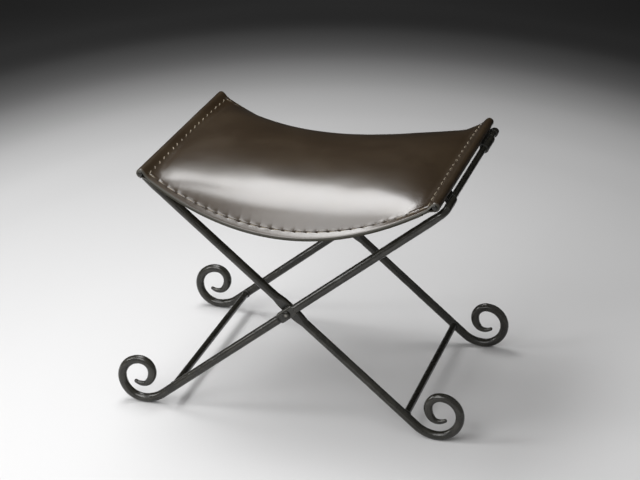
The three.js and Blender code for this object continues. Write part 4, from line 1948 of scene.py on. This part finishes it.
    def span(self, lifted: bool, reach: float, steps: int) -> np.ndarray:
        """Place a grid over the span between the two sleeves.

        Args:
            lifted: Whether the pad's lift is added.
            reach: How far from the seat rods the span ends.
            steps: Number of columns.

        Returns:
            Points of the face between the layers, columns by rows.
        """
        even = np.linspace(-1.0, 1.0, steps)
        share = even * (1.0 + 0.10 * (1.0 - even ** 2))
        row = self.rows[None, :]
        return self.shape.face(share[:, None] * self.shape.half_span(row, reach), row, lifted)

    def top_middle(self) -> np.ndarray:
        """Set out the middle of the whole top leather.

        Returns:
            The points, columns by rows, with the bends along the side seams rounded off.
        """
        shape = self.shape
        face = self.span(True, shape.tail_reach + shape.fold_gap, self.span_columns)
        middle = face + grid_normals(face) * shape.layer_offset
        grid = smoothed(np.concatenate([self.sleeve(-1)[::-1], middle, self.sleeve(1)]), 3)
        for hand in (-1, 1):
            seam = self.column(hand, self.fold_columns - 1)
            away = np.abs(np.arange(len(grid)) - seam)[1:-1, None, None]
            grid = smoothed(grid, 24, np.clip(1.4 - away / 9.0, 0.0, 1.0))
        return self.inset(grid, self.edge_bevel)

    def inset(self, grid: np.ndarray, depth: float) -> np.ndarray:
        """Draw the outer rows of a grid in, to leave room for the rim.

        Args:
            grid: Points, columns by rows.
            depth: How far.

        Returns:
            The changed grid.
        """
        grid = grid.copy()
        for edge, inside in ((0, 1), (-1, -2)):
            grid[:, edge] += unit(grid[:, inside] - grid[:, edge]) * depth
        return grid

    def build(self) -> list[Piece]:
        """Build the leathers, the pad and the stitches, and bake their placement.

        Returns:
            The pieces.
        """
        top, surface, lines = self.top_leather()
        lower, under, lower_lines = self.lower_leather()
        pieces = [top, lower, self.felt_pad()]
        pieces += self.stitches(surface, lines, under, lower_lines)
        self.hang(pieces)
        return pieces

    @property
    def rim(self) -> list[RimStep]:
        """Steps of the edge of the top leather: a waxed lip above a slanted, dull cut."""
        steps = [(0.025, 0.15, 0.0), (0.065, 0.31, 0.0), (0.125, 0.45, 0.0), (0.20, 0.54, 0.2)]
        steps += [(0.27, 0.60, 1.0), (0.55, 0.78, 1.0), (0.85, 0.97, 1.0), (0.95, 1.0, 1.0)]
        steps += [(1.0, 0.98, 1.0)]
        return [(share, out * self.edge_bevel, wear) for share, out, wear in steps]

    @property
    def lower_rim(self) -> list[RimStep]:
        """Steps of the edge of the lower leather: a dull cut with a rounded lower corner."""
        steps = [(0.01, 0.93, 1.0), (0.06, 1.0, 1.0), (0.55, 1.0, 1.0), (0.80, 0.75, 0.8)]
        steps += [(0.95, 0.35, 0.4)]
        return [(share, out * self.lower_bevel, wear) for share, out, wear in steps]

    def top_leather(self) -> tuple[Piece, np.ndarray, dict[str, StitchLine]]:
        """Build the top leather with its sleeves, puckers and slots for the ties.

        Returns:
            The piece, its pressed outer face and its stitch lines.
        """
        middle = self.top_middle()
        normals = grid_normals(middle)
        half = self.shape.leather / 2
        front, rear = self.stitch_rows
        left, right = (self.column(hand, self.fold_columns - 1) for hand in (-1, 1))
        settling = Settling(middle, (left, right), self.stitch_rows, self.stitch_pitch)
        middle = middle + normals * settling.lift()[..., None]
        normals = grid_normals(middle)
        outer = middle + normals * half
        turned = outer.transpose(1, 0, 2)
        lines = {
            "front": StitchLine(outer, front, left, right, 1, self.stitch_pitch, 5),
            "rear": StitchLine(outer, rear, left, right, -1, self.stitch_pitch, 6),
            "left": StitchLine(turned, left, front, rear, 1, self.side_pitch, 7, **self.laid),
            "right": StitchLine(turned, right, front, rear, -1, self.side_pitch, 8, **self.laid),
        }
        press = lines["front"].press() + lines["rear"].press()
        press = press + lines["left"].press().T + lines["right"].press().T
        waves = soft_noise(middle, self.wave_pitch, 21)
        press += self.wave_height * waves * self.loose(middle)
        outer = middle + normals * (half + press)[..., None]
        before_slot = self.fold_columns + self.bridge_columns + self.round_columns[0]
        openings = []
        for hand, low, high in self.slots:
            places = (before_slot, before_slot + self.round_columns[1])
            columns = sorted(self.column(hand, place) for place in places)
            openings.append((*columns, self.row_index(low), self.row_index(high)))
        skin = sheet_skin(outer, middle - normals * half, self.rim, openings, 0.3)
        skin.wear[:outer[..., 0].size] = self.edge_wear(outer).reshape(-1)
        piece = place_piece(
            "sling_top_hide", skin, Finish.LEATHER, Hold.SLING, "sling_top_leather", 34.0
        )
        self.log_flat_size("top", middle)
        return piece, outer, lines

    def loose(self, grid: np.ndarray) -> np.ndarray:
        """Tell where the leather lies loose over the pad.

        Args:
            grid: Points of the leather.

        Returns:
            1 over the pad, falling to 0 at the seams.
        """
        (seam, row), (side_over, row_over) = self.loose_from, self.loose_over
        side = (self.sizes.seat_bar_x - seam - np.abs(grid[..., 0])) / side_over
        return np.clip(side, 0.0, 1.0) * np.clip((row - np.abs(self.rows)) / row_over, 0.0, 1.0)

    def edge_wear(self, grid: np.ndarray) -> np.ndarray:
        """Wear a face lightly towards its cut edges.

        Args:
            grid: Points of the face.

        Returns:
            The wear of each point.
        """
        down = running_length(grid, 1)
        from_edge = np.minimum(down, down[:, -1:] - down)
        return self.edge_polish * np.exp(-from_edge / self.edge_polish_reach)

    def log_flat_size(self, name: str, middle: np.ndarray) -> None:
        """Log the flat size of one leather.

        Args:
            name: Which leather.
            middle: Its middle face, columns by rows.
        """
        across = running_length(middle, 0)[-1].max()
        along = running_length(middle, 1)[:, -1].max()
        a, b, c, d = middle[:-1, :-1], middle[1:, :-1], middle[1:, 1:], middle[:-1, 1:]
        doubled = np.linalg.norm([np.cross(b - a, d - a), np.cross(d - c, b - c)], axis=-1)
        area = 0.5 * doubled.sum()
        log.info("%s leather: %.4f by %.4f m, %.4f square metres", name, across, along, area)

    def lower_leather(self) -> tuple[Piece, tuple[np.ndarray, np.ndarray], dict[str, StitchLine]]:
        """Build the lower leather between the tails of the sleeves.

        Returns:
            The piece, its lower face with the directions out of it, and its stitch lines.
        """
        shape = self.shape
        face = self.span(False, shape.tail_reach + shape.tail_gap, self.lower_columns)
        middle = self.inset(face - grid_normals(face) * shape.layer_offset, self.lower_bevel)
        normals = grid_normals(middle)
        half = shape.leather / 2
        lower = middle - normals * half
        front, rear = self.stitch_rows
        last = self.lower_columns - 3
        lines = {
            "front": StitchLine(lower, front, 2, last, 1, self.stitch_pitch, 15),
            "rear": StitchLine(lower, rear, 2, last, -1, self.stitch_pitch, 16),
        }
        press = 0.6 * np.minimum(lines["front"].press() + lines["rear"].press(), 0.0)
        lower = middle - normals * (half + press)[..., None]
        skin = sheet_skin(middle + normals * half, lower, self.lower_rim, [], 0.4)
        piece = place_piece(
            "sling_lower_hide", skin, Finish.LINING, Hold.SLING, "sling_lower_leather", 50.0
        )
        self.log_flat_size("lower", middle)
        return piece, (lower, -normals), lines

    def felt_pad(self) -> Piece:
        """Build the crowned pad between the two leathers.

        Returns:
            The piece.
        """
        shape, clear = self.shape, self.pad_clearance
        share, rows = (
            np.linspace(-end, end, count) for end, count in zip(self.pad_shares, self.pad_counts)
        )
        share, rows = share[:, None], rows[None, :]
        x = share * shape.half_span(rows, shape.tail_reach + shape.tail_gap)
        top, bottom = shape.face(x, rows, True), shape.face(x, rows, False)
        top = top - grid_normals(top) * clear
        bottom = bottom + grid_normals(bottom) * clear
        hollows = self.pad_hollow * np.abs(soft_noise(top, self.pad_hollow_pitch, 33))
        top = top - grid_normals(top) * hollows[..., None]
        rim = [(0.2, 0.0010, 0.0), (0.5, 0.0016, 0.0), (0.8, 0.0010, 0.0)]
        skin = sheet_skin(top, bottom, rim, [])
        return place_piece("sling_felt_pad", skin, Finish.FELT, Hold.SLING, "sling_pad", 60.0)

    def stitches(
        self,
        surface: np.ndarray,
        lines: dict[str, StitchLine],
        under: tuple[np.ndarray, np.ndarray],
        lower_lines: dict[str, StitchLine],
    ) -> list[Piece]:
        """Lay the thread on both faces of every stitch line.

        Args:
            surface: Outer face of the top leather.
            lines: Stitch lines of the top leather.
            under: Lower face of the lower leather, and the directions out of it.
            lower_lines: Stitch lines of the lower leather.

        Returns:
            One piece for each line.
        """
        over = (surface, grid_normals(surface))
        turned = tuple(grid.transpose(1, 0, 2) for grid in over)
        tail = self.sleeve_columns - self.fold_columns
        pieces = []
        for name, line in lines.items():
            if name in lower_lines:
                skins = line.thread_skins(*over, self.top_dive)
                skins += lower_lines[name].thread_skins(*under, self.under_dive)
                label = f"{name}_edge_stitches"
            else:
                skins = line.thread_skins(*turned, self.top_dive)
                column = self.column(-line.inward, tail)
                back = replace(line, grid=turned[0], line=column, inward=-line.inward)
                skins += back.thread_skins(*turned, self.under_dive)
                label = f"{name}_sleeve_stitches"
            pieces.append(place_piece(label, joined(skins), Finish.THREAD, Hold.SLING))
        return pieces

    def hang(self, pieces: list[Piece]) -> None:
        """Bake the placement of each piece of the sling into its mesh.

        Args:
            pieces: The top leather, the lower leather, the pad and the stitches, in that order.
        """
        for piece in pieces:
            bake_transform(piece)
        top, lower, pad = pieces[:3]
        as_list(pieces[3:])


# Studio


@dataclass(frozen=True)
class Lamp:
    """A soft rectangular lamp.

    place is where it hangs and aim what it points at, turn is the angle in degrees by which it
    is turned about its own axis, and power is in watts.
    """

    name: str
    place: tuple[float, float, float]
    aim: tuple[float, float, float]
    size: Pair
    turn: float
    power: float

    def hang(self) -> None:
        """Hang the lamp."""
        data = bpy.data.lights.new(self.name, "AREA")
        data.shape = "RECTANGLE"
        data.size, data.size_y = self.size
        data.energy = self.power
        lamp = bpy.data.objects.new(self.name, data)
        lamp.location = self.place
        facing = (Vector(self.aim) - Vector(self.place)).to_track_quat("-Z", "Y").to_matrix()
        turned = facing @ Matrix.Rotation(math.radians(self.turn), 3, "Z")
        lamp.rotation_euler = turned.to_euler()
        bpy.context.scene.collection.objects.link(lamp)


@dataclass
class Studio:
    """Floor that sweeps up into a backdrop, with painted light and shade on it, the lamps and the
    camera.

    painted_light_tones are the paper's greys by distance from painted_pool_centre: a painted pool
    of light on the floor that falls to painted shade up the backdrop. The centre lies ahead of the
    stool and to the right of it as the camera looks.
    """

    shift: float
    camera_place: tuple[float, float, float] = (0.9384, -3.3307, 1.7370)
    camera_yaw: float = -15.783
    camera_pitch: float = -22.988
    camera_roll: float = 0.816
    lens: float = 114.63
    film: float = 36.0
    far_clip: float = 50.0
    sweep_near: float = -5.0
    sweep_start: float = 2.3
    sweep_radius: float = 0.7
    sweep_height: float = 3.2
    half_width: float = 5.0
    painted_pool_centre: Pair = (-0.6, 0.10)
    painted_pool_narrowness: float = 1.64
    roughness: float = 0.85
    grain: float = 0.004
    grain_depth: float = 0.0001
    painted_light_tones: tuple[Pair, ...] = (
        (0.60, 0.775), (1.30, 0.700), (1.82, 0.620), (2.06, 0.575), (2.30, 0.430),
        (2.55, 0.185), (2.82, 0.046), (3.08, 0.020), (3.60, 0.006),
    )
    lamps: tuple[Lamp, ...] = (
        Lamp("overhead_near", (-0.536, 0.014, 2.0), (-0.536, 0.014, 0.0), (0.93, 0.41), 46.0, 7.6),
        Lamp("overhead_far", (-0.786, 0.624, 2.0), (-0.786, 0.624, 0.0), (1.16, 0.80), 46.0, 18.4),
        Lamp("front_ceiling", (-0.72, -0.90, 2.0), (-0.72, -0.90, 0.0), (0.75, 1.0), 0.0, 7.0),
        Lamp("left_fill", (-0.9, -2.6, 2.0), (0.1, -0.7, 0.0), (1.8, 1.8), 0.0, 48.0),
        Lamp("left_strip", (-1.8, -0.9, 1.25), (0.1, -0.1, 0.35), (0.50, 1.0), 0.0, 13.0),
    )
    air: tuple[float, float, float, float] = (0.90, 0.89, 0.88, 1.0)
    air_strength: float = 0.30

    def build(self) -> None:
        """Set up the whole studio."""
        self.sweep()
        for lamp in self.lamps:
            lamp.hang()
        self.light_air()
        self.camera()
        bpy.context.scene.view_settings.view_transform = "Standard"

    @property
    def axes(self) -> tuple[Vector, Vector]:
        """Horizontal directions ahead of the camera and to its right."""
        yaw = math.radians(self.camera_yaw)
        ahead = Vector((math.sin(yaw), math.cos(yaw), 0.0))
        return ahead, Vector((ahead.y, -ahead.x, 0.0))

    def sweep(self) -> None:
        """Build the floor and the backdrop as one curved sheet of paper."""
        ahead, right = self.axes
        profile = [(self.sweep_near, 0.0), (-1.0, 0.0), (self.sweep_start, 0.0)]
        for turn in np.linspace(0.0, QUARTER_TURN, 13)[1:]:
            run = self.sweep_start + self.sweep_radius * math.sin(turn)
            profile.append((run, self.sweep_radius * (1.0 - math.cos(turn))))
        profile.append((self.sweep_start + self.sweep_radius, self.sweep_height))
        points = []
        for run, rise in profile:
            for hand in (-1.0, 1.0):
                at = ahead * run + right * (hand * self.half_width)
                points.append((at.x, at.y + self.shift, rise))
        faces = [(2 * k, 2 * k + 1, 2 * k + 3, 2 * k + 2) for k in range(len(profile) - 1)]
        mesh = bpy.data.meshes.new("studio_paper")
        mesh.from_pydata(points, [], faces)
        mesh.polygons.foreach_set("use_smooth", [True] * len(faces))
        mesh.materials.append(self.paper())
        floor = bpy.data.objects.new("studio_paper", mesh)
        bpy.context.scene.collection.objects.link(floor)

    def paper(self) -> bpy.types.Material:
        """Build the paper: a painted pool of light where the stool stands, painted shade up the
        backdrop, clear from behind.

        Returns:
            The material.
        """
        coat = Coating("studio_paper_tone")
        table = coat.table
        place = table.add("ShaderNodeTexCoord").outputs["Object"]
        ahead, right = self.axes
        painted_pool = {
            "Vector": place,
            "Location": tuple(ahead * self.painted_pool_centre[0] + right * self.painted_pool_centre[1]),
            "Rotation": (0.0, 0.0, -math.radians(self.camera_yaw)),
            "Scale": (1.0 / self.painted_pool_narrowness, 1.0, 1.0),
        }
        turned = table.add("ShaderNodeMapping", painted_pool, vector_type="TEXTURE").outputs["Vector"]
        away = table.add("ShaderNodeVectorMath", {0: turned}, operation="LENGTH").outputs["Value"]
        # Painted light: the paper's grey falls with distance from the pool centre, from a pale
        # painted pool on the floor to painted shade up the backdrop.
        reach = self.painted_light_tones[-1][0]
        share = table.add("ShaderNodeMapRange", {"Value": away, "From Max": reach})
        ramp = table.add("ShaderNodeValToRGB", {"Fac": share.outputs["Result"]})
        stops = ramp.color_ramp
        stops.interpolation = "CARDINAL"
        while len(stops.elements) < len(self.painted_light_tones):
            stops.elements.new(0.5)
        for element, (distance, tone) in zip(stops.elements, self.painted_light_tones):
            element.position = distance / reach
            element.color = (tone, tone, tone * 1.005, 1.0)
        behind = table.add("ShaderNodeNewGeometry").outputs["Backfacing"]
        sockets = {
            "Base Color": ramp.outputs["Color"],
            "Roughness": self.roughness,
            "Alpha": table.sum([(behind, -1.0)], 1.0),
        }
        return coat.close(sockets, table.noise(place, self.grain, 2.0), self.grain_depth)

    def light_air(self) -> None:
        """Give the world its faint, even light."""
        world = bpy.data.worlds.new("studio_air")
        bpy.context.scene.world = world
        world.use_nodes = True
        ground = world.node_tree.nodes["Background"]
        ground.inputs["Color"].default_value = self.air
        ground.inputs["Strength"].default_value = self.air_strength

    def camera(self) -> None:
        """Set up the camera at the photograph's angle."""
        data = bpy.data.cameras.new("studio_camera")
        data.lens = self.lens
        data.sensor_width = self.film
        data.clip_end = self.far_clip
        camera = bpy.data.objects.new("studio_camera", data)
        x, y, z = self.camera_place
        turned = Matrix.Translation((x, y + self.shift, z))
        for angle, axis in (
            (-self.camera_yaw, "Z"), (90.0 + self.camera_pitch, "X"), (self.camera_roll, "Z")
        ):
            turned = turned @ Matrix.Rotation(math.radians(angle), 4, axis)
        camera.matrix_world = turned
        bpy.context.scene.collection.objects.link(camera)
        bpy.context.scene.camera = camera


def main() -> None:
    """Build the stool and its studio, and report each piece."""
    logging.basicConfig(level=logging.INFO, format="%(message)s")
    sizes = StoolSizes()
    assemblies = [ScissorFrame(side, sizes) for side in Side]
    assemblies += [Pivot(end, sizes) for end in End]
    assemblies.append(Sling(sizes))
    for assembly in assemblies:
        for piece in assembly.build():
            log.info("%s: %d points", piece.name, len(piece.data.vertices))
    Studio(sizes.shift).build()


if __name__ == "__main__":
    main()
